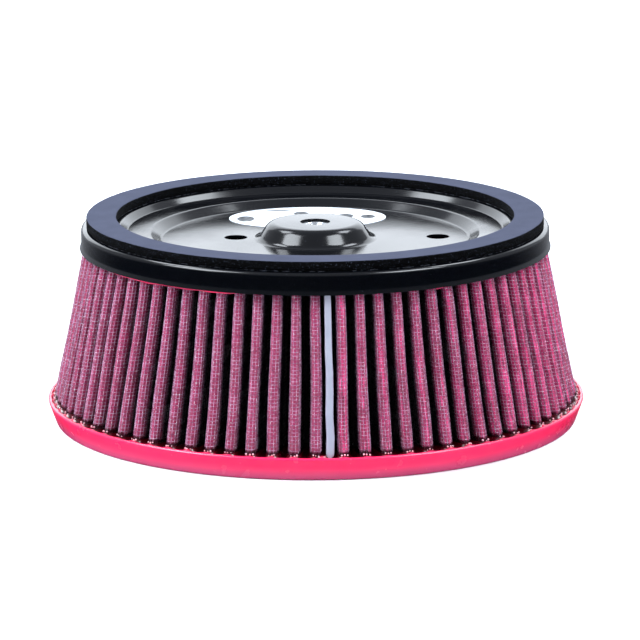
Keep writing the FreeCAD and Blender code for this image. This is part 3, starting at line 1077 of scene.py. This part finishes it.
class FoldedTree(PieceTree):
    """The node tree that spreads a path from foot to head, as a sheet or as one way of a woven screen."""

    INPUTS = {"Rows": ("NodeSocketInt", 8), "From": ("NodeSocketFloat", 0.0), "To": ("NodeSocketFloat", 1.0),
              "Slant": ("NodeSocketFloat", 0.0572), "Wobble": ("NodeSocketFloat", 0.001),
              "Wobble Size": ("NodeSocketFloat", 0.013), "Seed": ("NodeSocketFloat", 3.0),
              "Weave": ("NodeSocketFloat", 0.0), "Wire Radius": ("NodeSocketFloat", 0.00013),
              "Posts": ("NodeSocketInt", 0), "Material": ("NodeSocketMaterial", None)}

    def __init__(self, name: str, as_wires: bool) -> None:
        """Builds the tree.

        Args:
            name: The tree's name.
            as_wires: Whether it makes wires, and not a sheet.
        """
        super().__init__(name)
        shaped = self.lattice()
        if as_wires:
            shaped = self.wires(shaped)
        self.finish(shaped)

    def column_of(self, point: Socket) -> Socket:
        """The column of the lattice that a point is in.

        Args:
            point: The point's number.

        Returns:
            The column's number.
        """
        return self.math("FLOOR", self.math("DIVIDE", self.math("ADD", point, 0.5), self.given("Rows")))

    def carried(self, label: Optional[str], kind: str) -> Socket:
        """A path attribute, or the path's position, at each point's column.

        Args:
            label: The attribute's name, or None for the position.
            kind: Its data type.

        Returns:
            The value's socket.
        """
        if label is None:
            value = self.add("GeometryNodeInputPosition").outputs[0]
        else:
            value = self.add("GeometryNodeInputNamedAttribute", {"data_type": kind},
                             {"Name": label}).outputs[0]
        return self.add("GeometryNodeSampleIndex", {"data_type": kind, "domain": "POINT"}, {
            "Geometry": self.given("Geometry"), "Value": value, "Index": self.column}).outputs[0]

    def lattice(self) -> Socket:
        """The grid of points from foot to head, waved a little as hand-set pleats are.

        Returns:
            The grid's geometry.
        """
        count = self.add("GeometryNodeAttributeDomainSize", {"component": "MESH"},
                         {"Geometry": self.given("Geometry")}).outputs["Point Count"]
        grid = self.add("GeometryNodeMeshGrid", {},
                        {"Vertices X": count, "Vertices Y": self.given("Rows")}).outputs[0]
        number = self.add("GeometryNodeInputIndex").outputs[0]
        self.column = self.column_of(number)
        row = self.math("SUBTRACT", number, self.math("MULTIPLY", self.column, self.given("Rows")))
        step = self.math("DIVIDE", row, self.math("SUBTRACT", self.given("Rows"), 1.0))
        span = self.math("SUBTRACT", self.given("To"), self.given("From"))
        share = self.math("MULTIPLY_ADD", step, span, self.given("From"))
        foot, head = self.carried(None, "FLOAT_VECTOR"), self.carried("head", "FLOAT_VECTOR")
        rise = self.vector("SUBTRACT", head, foot)
        place = self.vector("ADD", foot, self.vector("SCALE", rise, scale=share))
        # the same slow noise moves every layer, so that none cuts through its neighbour
        squeezed = self.vector("MULTIPLY", place, (1.0, 1.0, 0.3))
        wave = self.add("ShaderNodeTexNoise", {"noise_dimensions": "4D"},
                        {"Vector": squeezed, "W": self.given("Seed"), "Detail": 0.5,
                         "Scale": self.math("DIVIDE", 1.0, self.given("Wobble Size"))}).outputs[1]
        centred = self.vector("MULTIPLY", self.vector("SUBTRACT", wave, (0.5, 0.5, 0.5)), (1.0, 1.0, 0.0))
        from_end = self.math("MINIMUM", share, self.math("SUBTRACT", 1.0, share))
        free = self.math("MULTIPLY", from_end, 6.0, clamp=True)
        held = self.math("MULTIPLY_ADD", free, 0.85, 0.15)
        moved = self.vector("SCALE", centred, scale=self.math("MULTIPLY", held, self.given("Wobble")))
        # wires pass over and under each other by turns
        odd = self.math("MODULO", self.math("ADD", row, self.column), 2.0)
        sign = self.math("MULTIPLY_ADD", odd, -2.0, 1.0)
        lift = self.vector("SCALE", self.carried("out", "FLOAT_VECTOR"),
                           scale=self.math("MULTIPLY", sign, self.given("Weave")))
        position = self.vector("ADD", self.vector("ADD", place, moved), lift)
        placed = self.add("GeometryNodeSetPosition", {}, {"Geometry": grid, "Position": position}).outputs[0]
        deep = self.add("GeometryNodeStoreNamedAttribute", {"data_type": "FLOAT", "domain": "POINT"}, {
            "Geometry": placed, "Name": "depth", "Value": self.carried("depth", "FLOAT")}).outputs[0]
        lay = self.add("ShaderNodeCombineXYZ", {}, {
            0: self.carried("run", "FLOAT"), 1: self.math("MULTIPLY", share, self.given("Slant"))})
        return self.add("GeometryNodeStoreNamedAttribute", {"data_type": "FLOAT2", "domain": "CORNER"}, {
            "Geometry": deep, "Name": "UVMap", "Value": lay.outputs[0]}).outputs[0]

    def wires(self, lattice: Socket) -> Socket:
        """Keeps the lattice's edges that run one way and gives them a wire's round section.

        Args:
            lattice: The lattice's geometry.

        Returns:
            The wires' geometry.
        """
        tips = self.add("GeometryNodeInputMeshEdgeVertices").outputs[:2]
        across = self.math("ABSOLUTE", self.math("SUBTRACT", *(self.column_of(tip) for tip in tips)))
        # an edge runs either across columns or up a column, never both
        rings = self.math("SUBTRACT", 1.0, self.given("Posts"))
        other = self.math("GREATER_THAN", self.math("ABSOLUTE", self.math("SUBTRACT", rings, across)), 0.5)
        kept = self.add("GeometryNodeDeleteGeometry", {"domain": "EDGE", "mode": "EDGE_FACE"},
                        {"Geometry": lattice, "Selection": other}).outputs[0]
        lines = self.add("GeometryNodeMeshToCurve", {}, {"Mesh": kept}).outputs[0]
        section = self.add("GeometryNodeCurvePrimitiveCircle", {},
                           {"Resolution": 3, "Radius": self.given("Wire Radius")}).outputs[0]
        return self.add("GeometryNodeCurveToMesh", {},
                        {"Curve": lines, "Profile Curve": section, "Fill Caps": True}).outputs[0]


@dataclass
class PackBuilder:
    """Grows the pack's screens and plies and enrols them."""

    pack: FoldedPack
    ring_span: tuple[float, float] = (0.03, 0.985)
    post_span: tuple[float, float] = (0.01, 0.995)
    post_rows: int = 13
    weave_mm: float = 0.09
    ply_span: tuple[float, float] = (0.004, 0.996)
    ply_rows: int = 9
    thread_mm: float = 0.09

    def common(self) -> dict[str, Any]:
        """The inputs that every layer shares.

        Returns:
            Their values by label.
        """
        p = self.pack
        return {"Wobble": p.wobble_mm * MM, "Wobble Size": p.wobble_size_mm * MM, "Seed": 3.0,
                "Slant": math.hypot(p.height, p.taper) * MM}

    def screen(self, node: str, depth: float, crossings: int, inner: bool) -> None:
        """Weaves one wire screen and enrols its parts.

        Args:
            node: The CAD node that it stands for.
            depth: The depth of its middle below the pack's outer face.
            crossings: The close crossings in each half pleat.
            inner: Whether its valleys are what shows.
        """
        p = self.pack
        tree = FoldedTree("woven_" + node, as_wires=True)
        carrier = p.carrier(node + "_path", p.path(depth, p.shares(crossings, inner)))
        # the inner screen faces clean air, so its far side isn't lost in a dark fold: its painted shade is a
        # lighter grey
        wire = CoatedWire(f"epoxy_coated_wire_{node}", shade="#4a4046" if inner else CoatedWire.shade)
        values = {**self.common(), "Wire Radius": p.wire_mm / 2 * MM, "Material": wire.make()}
        edges = np.linspace(*self.ring_span, p.ring_parts * (p.ring_rows // p.ring_parts))
        for part, rows in enumerate(np.array_split(edges, p.ring_parts), 1):
            rings = tree.grow(carrier, f"{node}_rings_{part}", {
                **values, "Rows": len(rows), "From": float(rows[0]), "To": float(rows[-1]),
                "Weave": self.weave_mm * MM, "Posts": Wires.RINGS.value})
            enrol(rings, "epoxy_coated_mesh", node)
        posts = tree.grow(carrier, f"{node}_posts", {
            **values, "Rows": self.post_rows, "From": self.post_span[0], "To": self.post_span[1],
            "Weave": 0.0, "Posts": Wires.POSTS.value})
        enrol(posts, "epoxy_coated_mesh", node)
        bpy.data.objects.remove(carrier)

    def plies(self) -> None:
        p = self.pack
        tree = FoldedTree("folded_gauze", as_wires=False)
        for number in range(1, 5):
            depth = p.screen_gauge + p.gap + (number - 1) * (p.ply_gauge + p.gap) + p.ply_gauge / 2
            if number == 4:
                # this one faces clean air, so its painted shade falls the other way: darkest out at the
                # crests, none at the valleys
                cloth = OiledGauze("oiled_cotton_gauze_inner", 9.0, shade="#3d0a18",
                                   dark_from=6.0, dark_to=-2.0)
            else:
                cloth = OiledGauze(f"oiled_cotton_gauze_{number}", float(number))
            carrier = p.carrier(f"gauze_path_{number}", p.path(depth, None))
            ply = tree.grow(carrier, f"gauze_sheet_{number}", {
                **self.common(), "Rows": self.ply_rows, "From": self.ply_span[0], "To": self.ply_span[1],
                "Material": cloth.make()})
            bpy.data.objects.remove(carrier)
            wall = ply.modifiers.new("thread", "SOLIDIFY")
            wall.thickness, wall.offset = self.thread_mm * MM, 0.0
            enrol(ply, "oiled_cotton_gauze", f"gauze_ply_{number}")

    def build(self) -> None:
        """Builds the whole pack."""
        p = self.pack
        self.plies()
        self.screen("outer_screen", p.screen_gauge / 2, 8, inner=False)
        self.screen("inner_screen", p.gauge - p.screen_gauge / 2, 4, inner=True)


# ---------------------------------------------------------------- castings round the pack's ends

@dataclass
class FoldedEnd:
    """The pack's outline where it enters a casting, for the resin that creeps up its folds."""

    pack: FoldedPack
    end: PackEnd

    def clearance(self, radius: np.ndarray, azimuth: np.ndarray) -> np.ndarray:
        """How far points are from the folded sheets.

        Args:
            radius: The points' radii.
            azimuth: Their azimuths.

        Returns:
            The distances, zero inside the sheets.
        """
        e, p = self.end, self.pack
        pitch = (2 * math.pi - 2 * p.seam_azimuth) / (p.pleats - 1)
        turn = (azimuth - 2 * p.seam_azimuth) / pitch
        near_crest = (turn - np.round(turn)) * pitch
        near_valley = (turn - 0.5 - np.round(turn - 0.5)) * pitch
        crest = e.crest_radius - e.crest_fold
        valley = e.crest_radius - p.pleat_depth + e.valley_fold
        lateral = np.abs(radius * np.sin(near_crest))
        out = radius * np.cos(near_crest) - crest
        lean = (valley * math.sin(pitch / 2) - (e.valley_fold - p.gauge) - e.crest_fold) / (crest - valley)
        outer = np.where(out > 0, np.hypot(lateral, out) - e.crest_fold, lateral - e.crest_fold + lean * out)
        inwards = valley - radius * np.cos(near_valley)
        inner = np.where(inwards > 0, np.hypot(radius * np.sin(near_valley), inwards) - e.valley_fold, -1.0)
        return np.where(inwards > 0, np.maximum(inner, 0.0), np.maximum(outer, 0.0))


@dataclass
class Casting:
    """A ring of cast resin whose one face creeps up the pleats."""

    name: str
    node: str
    slot: str
    end: FoldedEnd
    outline: list[tuple[float, float]]
    stations: list[float]
    level: Callable[[np.ndarray], np.ndarray]
    creep: float
    reach: float
    way: int
    steps: int = 1540

    def build(self, material: bpy.types.Material) -> None:
        """Builds and enrols the casting.

        Args:
            material: Its finish.
        """
        rng = np.random.default_rng(5)
        azimuth = full_turn(self.steps)
        radius = np.array(self.stations)[None, :].repeat(self.steps, 0)
        apart = self.end.clearance(radius, azimuth[:, None].repeat(len(self.stations), 1))
        lively = 1 + 0.35 * np.interp(azimuth, np.linspace(0, 2 * math.pi, 155), rng.uniform(-1, 1, 155))
        rise = self.creep * lively[:, None] * np.exp(-apart / self.reach)
        face = self.level(radius) + self.way * rise
        fixed = np.array(self.outline)
        r = np.concatenate([fixed[:, 0][None, :].repeat(self.steps, 0), radius], axis=1)
        z = np.concatenate([fixed[:, 1][None, :].repeat(self.steps, 0), face], axis=1)
        piece = swept(self.name, r, z, azimuth, sharp=None)
        dress(piece, material)
        enrol(piece, self.slot, self.node)


@dataclass
class BaseRing:
    """The cast base: an outward-leaning wall, a lip outside the pleats and a pool of resin between them."""

    pack: FoldedPack
    height: float = 7.7
    lip: float = 89.95
    foot: float = 87.3
    bore: float = 69.5
    pool: float = 6.75

    def level(self, radius: np.ndarray) -> np.ndarray:
        """The casting's top height, without the creep.

        Args:
            radius: The radii that it is wanted at.

        Returns:
            The heights.
        """
        outer = 1 / (1 + np.exp(-(radius - 88.55) / 0.12))
        inner = 1 / (1 + np.exp((radius - 72.4) / 0.12))
        return self.pool + (self.height - self.pool) * np.maximum(outer, inner)

    def build(self) -> None:
        """Builds the casting."""
        lean = math.atan2(self.lip - self.foot, self.height)
        wall = rounded([(self.bore + 0.5, 0.0, 0.0), (self.foot, 0.0, 1.0),
                        (self.foot + math.tan(lean) * (self.height + 0.3), self.height, 0.7),
                        (88.9, self.height, 0.0)], steps=6)
        stations = [88.8, 88.65, 88.5, 88.35, 88.2, 88.0, 87.8, 87.6, 87.35, 87.1, 86.8, 86.4, 86.0, 85.4,
                    84.6, 83.4, 81.6, 79.0, 76.4, 75.2, 74.4, 73.9, 73.4, 73.0, 72.7, 72.5, 72.3, 72.0,
                    71.0, 70.1]
        inner = [(self.bore + 0.15, self.height - 0.15), (self.bore, self.height - 0.6), (self.bore, 0.6),
                 (self.bore + 0.15, 0.15)]
        Casting("base_ring", "base_moulding", "red_polyurethane", FoldedEnd(self.pack, self.pack.foot),
                inner[2:] + wall, stations + [i[0] for i in inner[:1]], self.level, 1.15, 0.42, 1
                ).build(CastPolyurethane().make())


class DropTree(PieceTree):
    """The node tree that stands a round drop on every point of its input."""

    INPUTS = {"Drop Radius": ("NodeSocketFloat", 0.00036), "Smallest": ("NodeSocketFloat", 0.45),
              "Seed": ("NodeSocketInt", 14), "Material": ("NodeSocketMaterial", None)}

    def __init__(self) -> None:
        """Builds the tree."""
        super().__init__("resin_drops")
        ball = self.add("GeometryNodeMeshUVSphere", {},
                        {"Segments": 8, "Rings": 5, "Radius": self.given("Drop Radius")}).outputs[0]
        # the random value's plain-number sockets come third, fourth and ninth
        size = self.add("FunctionNodeRandomValue", {"data_type": "FLOAT"},
                        {2: self.given("Smallest"), 3: 1.0, 8: self.given("Seed")}).outputs[1]
        points = self.add("GeometryNodeMeshToPoints", {}, {"Mesh": self.given("Geometry")}).outputs[0]
        self.finish(self.add("GeometryNodeInstanceOnPoints", {},
                             {"Points": points, "Instance": ball, "Scale": size}).outputs[0])


@dataclass
class ResinDrops:
    """Drops of resin left standing where each crest leaves the base."""

    pack: FoldedPack
    height: float = 7.95
    uneven: float = 0.4
    spread: float = 1.0
    proud: float = 0.3
    # how much nearer the axis the crests lean for each millimetre up
    slope: float = 0.209

    def build(self) -> None:
        """Builds and enrols the drops."""
        rng = np.random.default_rng(14)
        foot = self.pack.foot
        spots = []
        for number in range(self.pack.pleats):
            for side in (-1.0, 0.0, 1.0):
                across = side * self.spread + rng.uniform(-0.25, 0.25)
                high = self.height + rng.uniform(0.0, self.uneven)
                # the crest is round, so its face falls back to either side
                bulge = foot.crest_fold - math.sqrt(foot.crest_fold ** 2 - across ** 2)
                lean = self.slope * (high - foot.height)
                radius = foot.crest_radius - lean - bulge + self.proud
                azimuth = self.pack.azimuth(number) + across / radius
                spots.append((radius * math.sin(azimuth), -radius * math.cos(azimuth), high))
        carrier = mesh_piece("drop_places", np.array(spots), [], sharp=None)
        # painted highlight: the drops are painted a pale pink for the white glints of light where the crests
        # leave the base
        finish = CastPolyurethane("resin_painted_glint", deep="#f2bcc8", gloss=0.1)
        piece = DropTree().grow(carrier, "resin_drops", {"Material": finish.make()})
        bpy.data.objects.remove(carrier)
        enrol(piece, "red_polyurethane")


@dataclass
class BondRing:
    """The bonding compound under the plate, with a bead squeezed out under part of the rim."""

    pack: FoldedPack
    low: float = 61.56
    high: float = 64.5
    ledge: float = 62.1
    inner: float = 61.5
    outer: float = 77.15
    # each bead's first and last azimuth in degrees and its thickness
    beads: tuple[tuple[float, float, float], ...] = (
        (-70, -19, 0.4), (96, 128, 0.34), (190, 221, 0.38), (29.5, 32.5, 0.4))
    bead_radius: float = 77.25
    bead_height: float = 57.95

    def build(self) -> None:
        """Builds the ring and the bead."""
        finish = CastPolyurethane("bonding_polyurethane", body="#7c2642", deep="#5e1a30", pool_z=90.0)
        material = finish.make()
        stations = [float(r) for r in np.linspace(self.inner + 0.3, self.outer - 0.2, 34)]
        outline = [(self.outer, self.low + 0.2), (self.outer, 63.75), (76.4, self.high), (66.0, self.high),
                   (63.6, self.ledge), (self.inner, self.ledge), (self.inner, self.low + 0.2)]
        Casting("bond_ring", "top_bond", "red_bonding_compound", FoldedEnd(self.pack, self.pack.head),
                outline, stations, lambda r: np.full_like(r, self.low), 0.7, 0.5, -1).build(material)
        self.bead(material)

    def bead(self, material: bpy.types.Material) -> None:
        """Lays the uneven bead that shows under the rim.

        Args:
            material: The compound's finish.
        """
        rng = np.random.default_rng(11)
        corner = full_turn(8)
        for number, (start, end, thick) in enumerate(self.beads, 1):
            steps = int((end - start) * 2.4)
            azimuth = np.radians(np.linspace(start, end, steps))
            taper = np.sin(np.linspace(0.0, math.pi, steps)).clip(0, 1) ** 0.35
            size = thick * taper * (1 + 0.3 * uneven(rng, steps, 7)) + 0.04
            sag = 0.18 * uneven(rng, steps, 9)
            r = self.bead_radius + size[:, None] * np.cos(corner) * 0.8
            z = self.bead_height + sag[:, None] + size[:, None] * np.sin(corner) * 1.15
            piece = swept(f"bond_bead_{number}", r, z, azimuth, sharp=None, whole=False)
            dress(piece, material)
            enrol(piece, "red_bonding_compound")


# ---------------------------------------------------------------- the end plate and what it carries

@dataclass
class EndPlate:
    """The stamped cap: curled rim, flange, ledge, recessed floor with three screw holes, and a boss."""

    gauge: float = 0.8
    centre_hole: float = 5.0
    screw_hole: float = 3.85
    screws: tuple[tuple[float, float], ...] = ((-26.5, 1.2), (40.976, 1.2), (7.2, -40.576))
    outline: tuple[tuple[float, float, float], ...] = (
        (78.56, 58.2, 0.0), (78.076, 59.7, 1.5), (78.076, 65.4, 1.5), (65.076, 65.4, 1.4),
        (62.676, 63.3, 1.4), (54.876, 63.0, 2.0), (51.376, 60.5, 2.0), (19.3, 60.5, 3.0), (15.5, 66.0, 4.0),
        (5.0, 66.0, 0.0))
    drill_span: tuple[float, float] = (58.5, 62.0)
    drill_steps: int = 48

    def build(self) -> None:
        """Builds and enrols the plate."""
        top = rounded(list(self.outline), steps=8)
        under = offset(top, -self.gauge)
        under[0] = (under[0][0], top[0][1])
        under[-1] = (top[-1][0], under[-1][1])
        section = np.array(top + under[::-1])
        plate = swept("enamelled_plate", section[:, 0], section[:, 1], full_turn(360))
        cutters = [self.drill(x, y) for x, y in self.screws]
        for cutter in cutters:
            cut = plate.modifiers.new("hole", "BOOLEAN")
            cut.operation, cut.object, cut.solver = "DIFFERENCE", cutter, "EXACT"
        made = bpy.data.meshes.new_from_object(plate.evaluated_get(bpy.context.evaluated_depsgraph_get()))
        plate.modifiers.clear()
        plate.data = made
        for cutter in cutters:
            bpy.data.objects.remove(cutter)
        made.shade_smooth()
        made.set_sharp_from_angle(angle=math.radians(35))
        dress(plate, GlossEnamel().make())
        enrol(plate, "black_enamel_steel", "end_plate")

    def drill(self, x: float, y: float) -> Any:
        """Makes a round cutter for one screw hole.

        Args:
            x: The hole's place across.
            y: The hole's place from front to back.

        Returns:
            The cutter.
        """
        steps = self.drill_steps
        angle = full_turn(steps)
        rings = [np.column_stack([x + self.screw_hole * np.cos(angle), y + self.screw_hole * np.sin(angle),
                                  np.full(steps, z)]) for z in self.drill_span]
        return mesh_piece("cutter", np.concatenate(rings), tube_faces(2, steps, whole=False))


@dataclass
class CentreNut:
    """The weld nut: a round flange against the boss, a hexagon below it and a cut thread."""

    seat: float = 65.18
    flange: float = 10.0
    flange_gauge: float = 1.5
    across_flats: float = 11.0
    low: float = 58.18
    bore: float = 2.55
    thread_deep: float = 0.35
    pitch: float = 1.0
    around: int = 72

    def build(self) -> None:
        """Builds and enrols the nut."""
        angle = full_turn(self.around)
        hexagon = self.across_flats / 2 / np.cos((angle + math.pi / 6) % (math.pi / 3) - math.pi / 6)
        round_off = np.minimum(hexagon, self.across_flats / 2 * 1.13)
        shelf = self.seat - self.flange_gauge
        ones = np.ones(self.around)
        section = [(ones * (self.bore + self.thread_deep), self.low), (round_off - 0.5, self.low),
                   (round_off, self.low + 0.4), (round_off, shelf - 0.1), (ones * (self.flange - 0.2), shelf),
                   (ones * self.flange, shelf + 0.2), (ones * self.flange, self.seat - 0.25),
                   (ones * (self.flange - 0.25), self.seat), (ones * (self.bore + 0.75), self.seat),
                   (ones * (self.bore + self.thread_deep), self.seat - 0.4)]
        for z in np.arange(self.seat - 0.5, self.low + 0.05, -self.pitch / 8):
            phase = (z / self.pitch - angle / (2 * math.pi)) % 1
            groove = 1 - np.abs(2 * phase - 1)
            section.append((self.bore + self.thread_deep * np.minimum(1, 1.3 * groove), z))
        r = np.stack([s[0] for s in section], axis=1)
        z = np.stack([np.full(self.around, s[1]) for s in section], axis=1)
        nut = swept("flanged_nut", r, z, angle)
        dress(nut, ZincPlate().make())
        enrol(nut, "zinc_plated_steel", "centre_nut")


@dataclass
class FoamGasket:
    """The die-cut foam ring on the flange, its edges a little uneven as a knife leaves them."""

    low: float = 65.62
    high: float = 68.72
    inner: float = 66.13
    outer: float = 76.33
    edge: float = 0.22
    around: int = 720

    def build(self) -> None:
        """Builds and enrols the gasket."""
        rng = np.random.default_rng(21)
        e, middle = self.edge, (self.low + self.high) / 2
        # each point's radius and height, and how much of a cut side's waviness it takes
        section = [(self.outer - e, self.low, 0.3), (self.outer, self.low + e, 1.0),
                   (self.outer - 0.05, middle, 0.7), (self.outer, self.high - e, 1.0),
                   (self.outer - 0.07, self.high - 0.07, 0.8),
                   (self.outer - e, self.high, 0.3), (self.outer - 1.2, self.high, 0.0),
                   ((self.outer + self.inner) / 2, self.high, 0.0), (self.inner + 1.2, self.high, 0.0),
                   (self.inner + e, self.high, -0.3), (self.inner + 0.07, self.high - 0.07, -0.8),
                   (self.inner, self.high - e, -1.0), (self.inner + 0.05, middle, -0.7),
                   (self.inner, self.low + e, -1.0), (self.inner + e, self.low, -0.3)]
        angle = full_turn(self.around)
        slow = np.interp(angle, np.linspace(0, 2 * math.pi, 61), np.append(w := rng.uniform(-1, 1, 60), w[0]))
        rows = np.array(section)
        ragged = rng.uniform(-0.05, 0.05, (self.around, len(rows)))
        r = rows[:, 0] - np.abs(rows[:, 2]) * 0.06 * np.sign(rows[:, 2]) * (1 + slow[:, None]) + (
            ragged * np.abs(rows[:, 2]) - 0.05 * rows[:, 2])
        gasket = swept("foam_ring", r, rows[:, 1], angle, sharp=50)
        dress(gasket, ClosedCellFoam().make())
        enrol(gasket, "black_foam_rubber", "foam_gasket")


@dataclass
class SeamClip:
    """The crimped strip that holds the pack's two ends: two legs and a face that waves a little."""

    pack: FoldedPack
    low: float = 7.0
    high: float = 60.8
    foot_face: float = 88.1
    foot_width: float = 2.6
    head_width: float = 2.0
    gauge: float = 0.35
    leg: float = 2.6

    def build(self) -> None:
        """Builds and enrols the strip."""
        rng = np.random.default_rng(8)
        steps = 60
        share = np.linspace(0, 1, steps)
        z = self.low + (self.high - self.low) * share
        sway = np.interp(share, np.linspace(0, 1, 9), rng.uniform(-0.22, 0.22, 9))
        dent = np.interp(share, np.linspace(0, 1, 13), rng.uniform(-0.12, 0.0, 13))
        end = np.sqrt(np.clip(1 - (1 - (z - self.low) / 1.6).clip(0, 1) ** 2, 0.02, 1))
        half = (self.foot_width + (self.head_width - self.foot_width) * share) / 2 * end
        face = self.foot_face - self.pack.taper / self.pack.height * (z - self.pack.foot.height) + dent
        g = self.gauge
        sections = []
        for s in range(steps):
            h, f = half[s], face[s]
            i = max(h - g, 0.1)
            line = [(-h, f - self.leg), (-h, f - 0.35), (-h + 0.12, f - 0.08), (-h * 0.55, f + 0.02),
                    (0.0, f - 0.04), (h * 0.55, f + 0.02), (h - 0.12, f - 0.08), (h, f - 0.35),
                    (h, f - self.leg), (i, f - self.leg), (i, f - g - 0.05), (0.0, f - g),
                    (-i, f - g - 0.05), (-i, f - self.leg)]
            sections.append([(a + sway[s], b, z[s]) for a, b in line])
        local = np.array(sections)
        out, across = (np.array(way) for way in compass(self.pack.seam_azimuth))
        flat = local[..., 1:2] * out + local[..., 0:1] * across
        points = np.concatenate([flat, local[..., 2:3]], axis=2).reshape(-1, 3)
        strip = mesh_piece("seam_strip", points, tube_faces(steps, local.shape[1], whole=False), sharp=60)
        dress(strip, RolledAluminium().make())
        enrol(strip, "bare_aluminium", "seam_clip")


def dress_kept_nodes() -> None:
    """Gives the CAD nodes whose shape is right their finishes."""
    for node, finish in (("label", PrintedVinyl()), ("gasket_tape", AdhesiveFilm())):
        dressed = finish.make()
        for slot in bpy.data.objects[node].material_slots:
            slot.material = dressed
        log.info("%s dressed", node)


# ---------------------------------------------------------------- studio

@dataclass
class Studio:
    """A pale floor and surroundings, four soft boxes, a panel behind and a camera above the rim."""

    distance: float = 1473.631
    rise: float = 369.9151
    pitch: float = 0.2252
    roll: float = -0.0045
    yaw: float = 0.001
    lens: float = 253.74
    centre: tuple[float, float, float] = (0.0, 0.0, 60.0)
    # each lamp's name, azimuth, elevation, distance, width and height in metres, and power
    lamps: tuple[tuple[str, float, float, float, tuple[float, float], float], ...] = (
        ("left_box", -71, 46, 1.2, (0.55, 0.62), 21.0),
        ("right_box", 60, 49, 1.2, (0.5, 0.45), 14.0),
        ("back_left_box", -121, 53, 1.2, (0.42, 0.3), 5.5),
        ("back_right_box", 121, 53, 1.2, (0.42, 0.3), 5.5),
        ("back_panel", 180, 22, 2.2, (3.2, 1.3), 29.0))
    lamp_tint: tuple[float, float, float] = (0.88, 0.94, 1.0)
    sky_strength: float = 0.72
    floor_half: float = 4000.0

    def camera(self) -> None:
        """Places the camera."""
        data = bpy.data.cameras.new("camera")
        data.lens, data.sensor_width, data.clip_start, data.clip_end = self.lens, 36.0, 0.05, 50.0
        camera = bpy.data.objects.new("camera", data)
        bpy.context.scene.collection.objects.link(camera)
        ahead = Vector((math.sin(self.yaw) * math.cos(self.pitch), math.cos(self.yaw) * math.cos(self.pitch),
                        -math.sin(self.pitch)))
        right = Vector((math.cos(self.yaw), -math.sin(self.yaw), 0.0))
        up = right.cross(ahead)
        right, up = (right * math.cos(self.roll) + up * math.sin(self.roll),
                     up * math.cos(self.roll) - right * math.sin(self.roll))
        turn = Matrix((right, up, -ahead)).transposed().to_4x4()
        camera.matrix_world = Matrix.Translation(Vector((0, -self.distance, self.rise)) * MM) @ turn
        bpy.context.scene.camera = camera

    def box(self, name: str, azimuth: float, elevation: float, far: float, size: tuple[float, float],
            power: float) -> None:
        """Hangs one soft box that faces the element.

        Args:
            name: The lamp's name.
            azimuth: Its direction in degrees.
            elevation: Its height in degrees.
            far: Its distance in metres.
            size: Its width and height in metres.
            power: Its power in watts.
        """
        lamp = bpy.data.lights.new(name, "AREA")
        lamp.shape, lamp.size, lamp.size_y, lamp.energy = "RECTANGLE", size[0], size[1], power
        lamp.color = self.lamp_tint
        a, e = math.radians(azimuth), math.radians(elevation)
        away = Vector((math.sin(a) * math.cos(e), -math.cos(a) * math.cos(e), math.sin(e)))
        light = bpy.data.objects.new(name, lamp)
        light.location = Vector(self.centre) * MM + away * far
        light.rotation_mode = "QUATERNION"
        light.rotation_quaternion = away.to_track_quat("Z", "Y")
        bpy.context.scene.collection.objects.link(light)

    def build(self) -> None:
        """Builds the studio."""
        far = self.floor_half
        points = np.array([(-far, -far, 0.0), (far, -far, 0.0), (far, far, 0.0), (-far, far, 0.0)])
        floor = mesh_piece("studio_floor", points, [(0, 1, 2, 3)], sharp=None)
        dress(floor, StudioFloor().make())
        floor.visible_glossy = False
        world = bpy.data.worlds.new("white_surroundings")
        world.use_nodes = True
        g = Graph(world.node_tree)
        sky = next(n for n in g.tree.nodes if n.type == "BACKGROUND")
        way = g.add("ShaderNodeTexCoord").outputs["Generated"]
        _, back, above = g.add("ShaderNodeSeparateXYZ", {}, {0: way}).outputs
        # bright above and behind, dark low in front, so that upright black enamel stays black
        side = g.math("MULTIPLY_ADD", back, 0.35, above)
        g.tree.links.new(g.mix(g.ramp(side, -0.1, 0.36), "#20242c", "#eaf0fc"), sky.inputs["Color"])
        sky.inputs["Strength"].default_value = self.sky_strength
        bpy.context.scene.world = world
        for lamp in self.lamps:
            self.box(*lamp)
        bpy.context.scene.view_settings.view_transform = "Standard"
        self.camera()


def main() -> None:
    """Builds the element on its frame, and the studio round it."""
    logging.basicConfig(level=logging.INFO, format="%(name)s: %(message)s")
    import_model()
    Studio().build()
    pack = FoldedPack()
    PackBuilder(pack).build()
    BaseRing(pack).build()
    ResinDrops(pack).build()
    BondRing(pack).build()
    EndPlate().build()
    CentreNut().build()
    FoamGasket().build()
    SeamClip(pack).build()
    dress_kept_nodes()


if __name__ == "__main__":
    main()
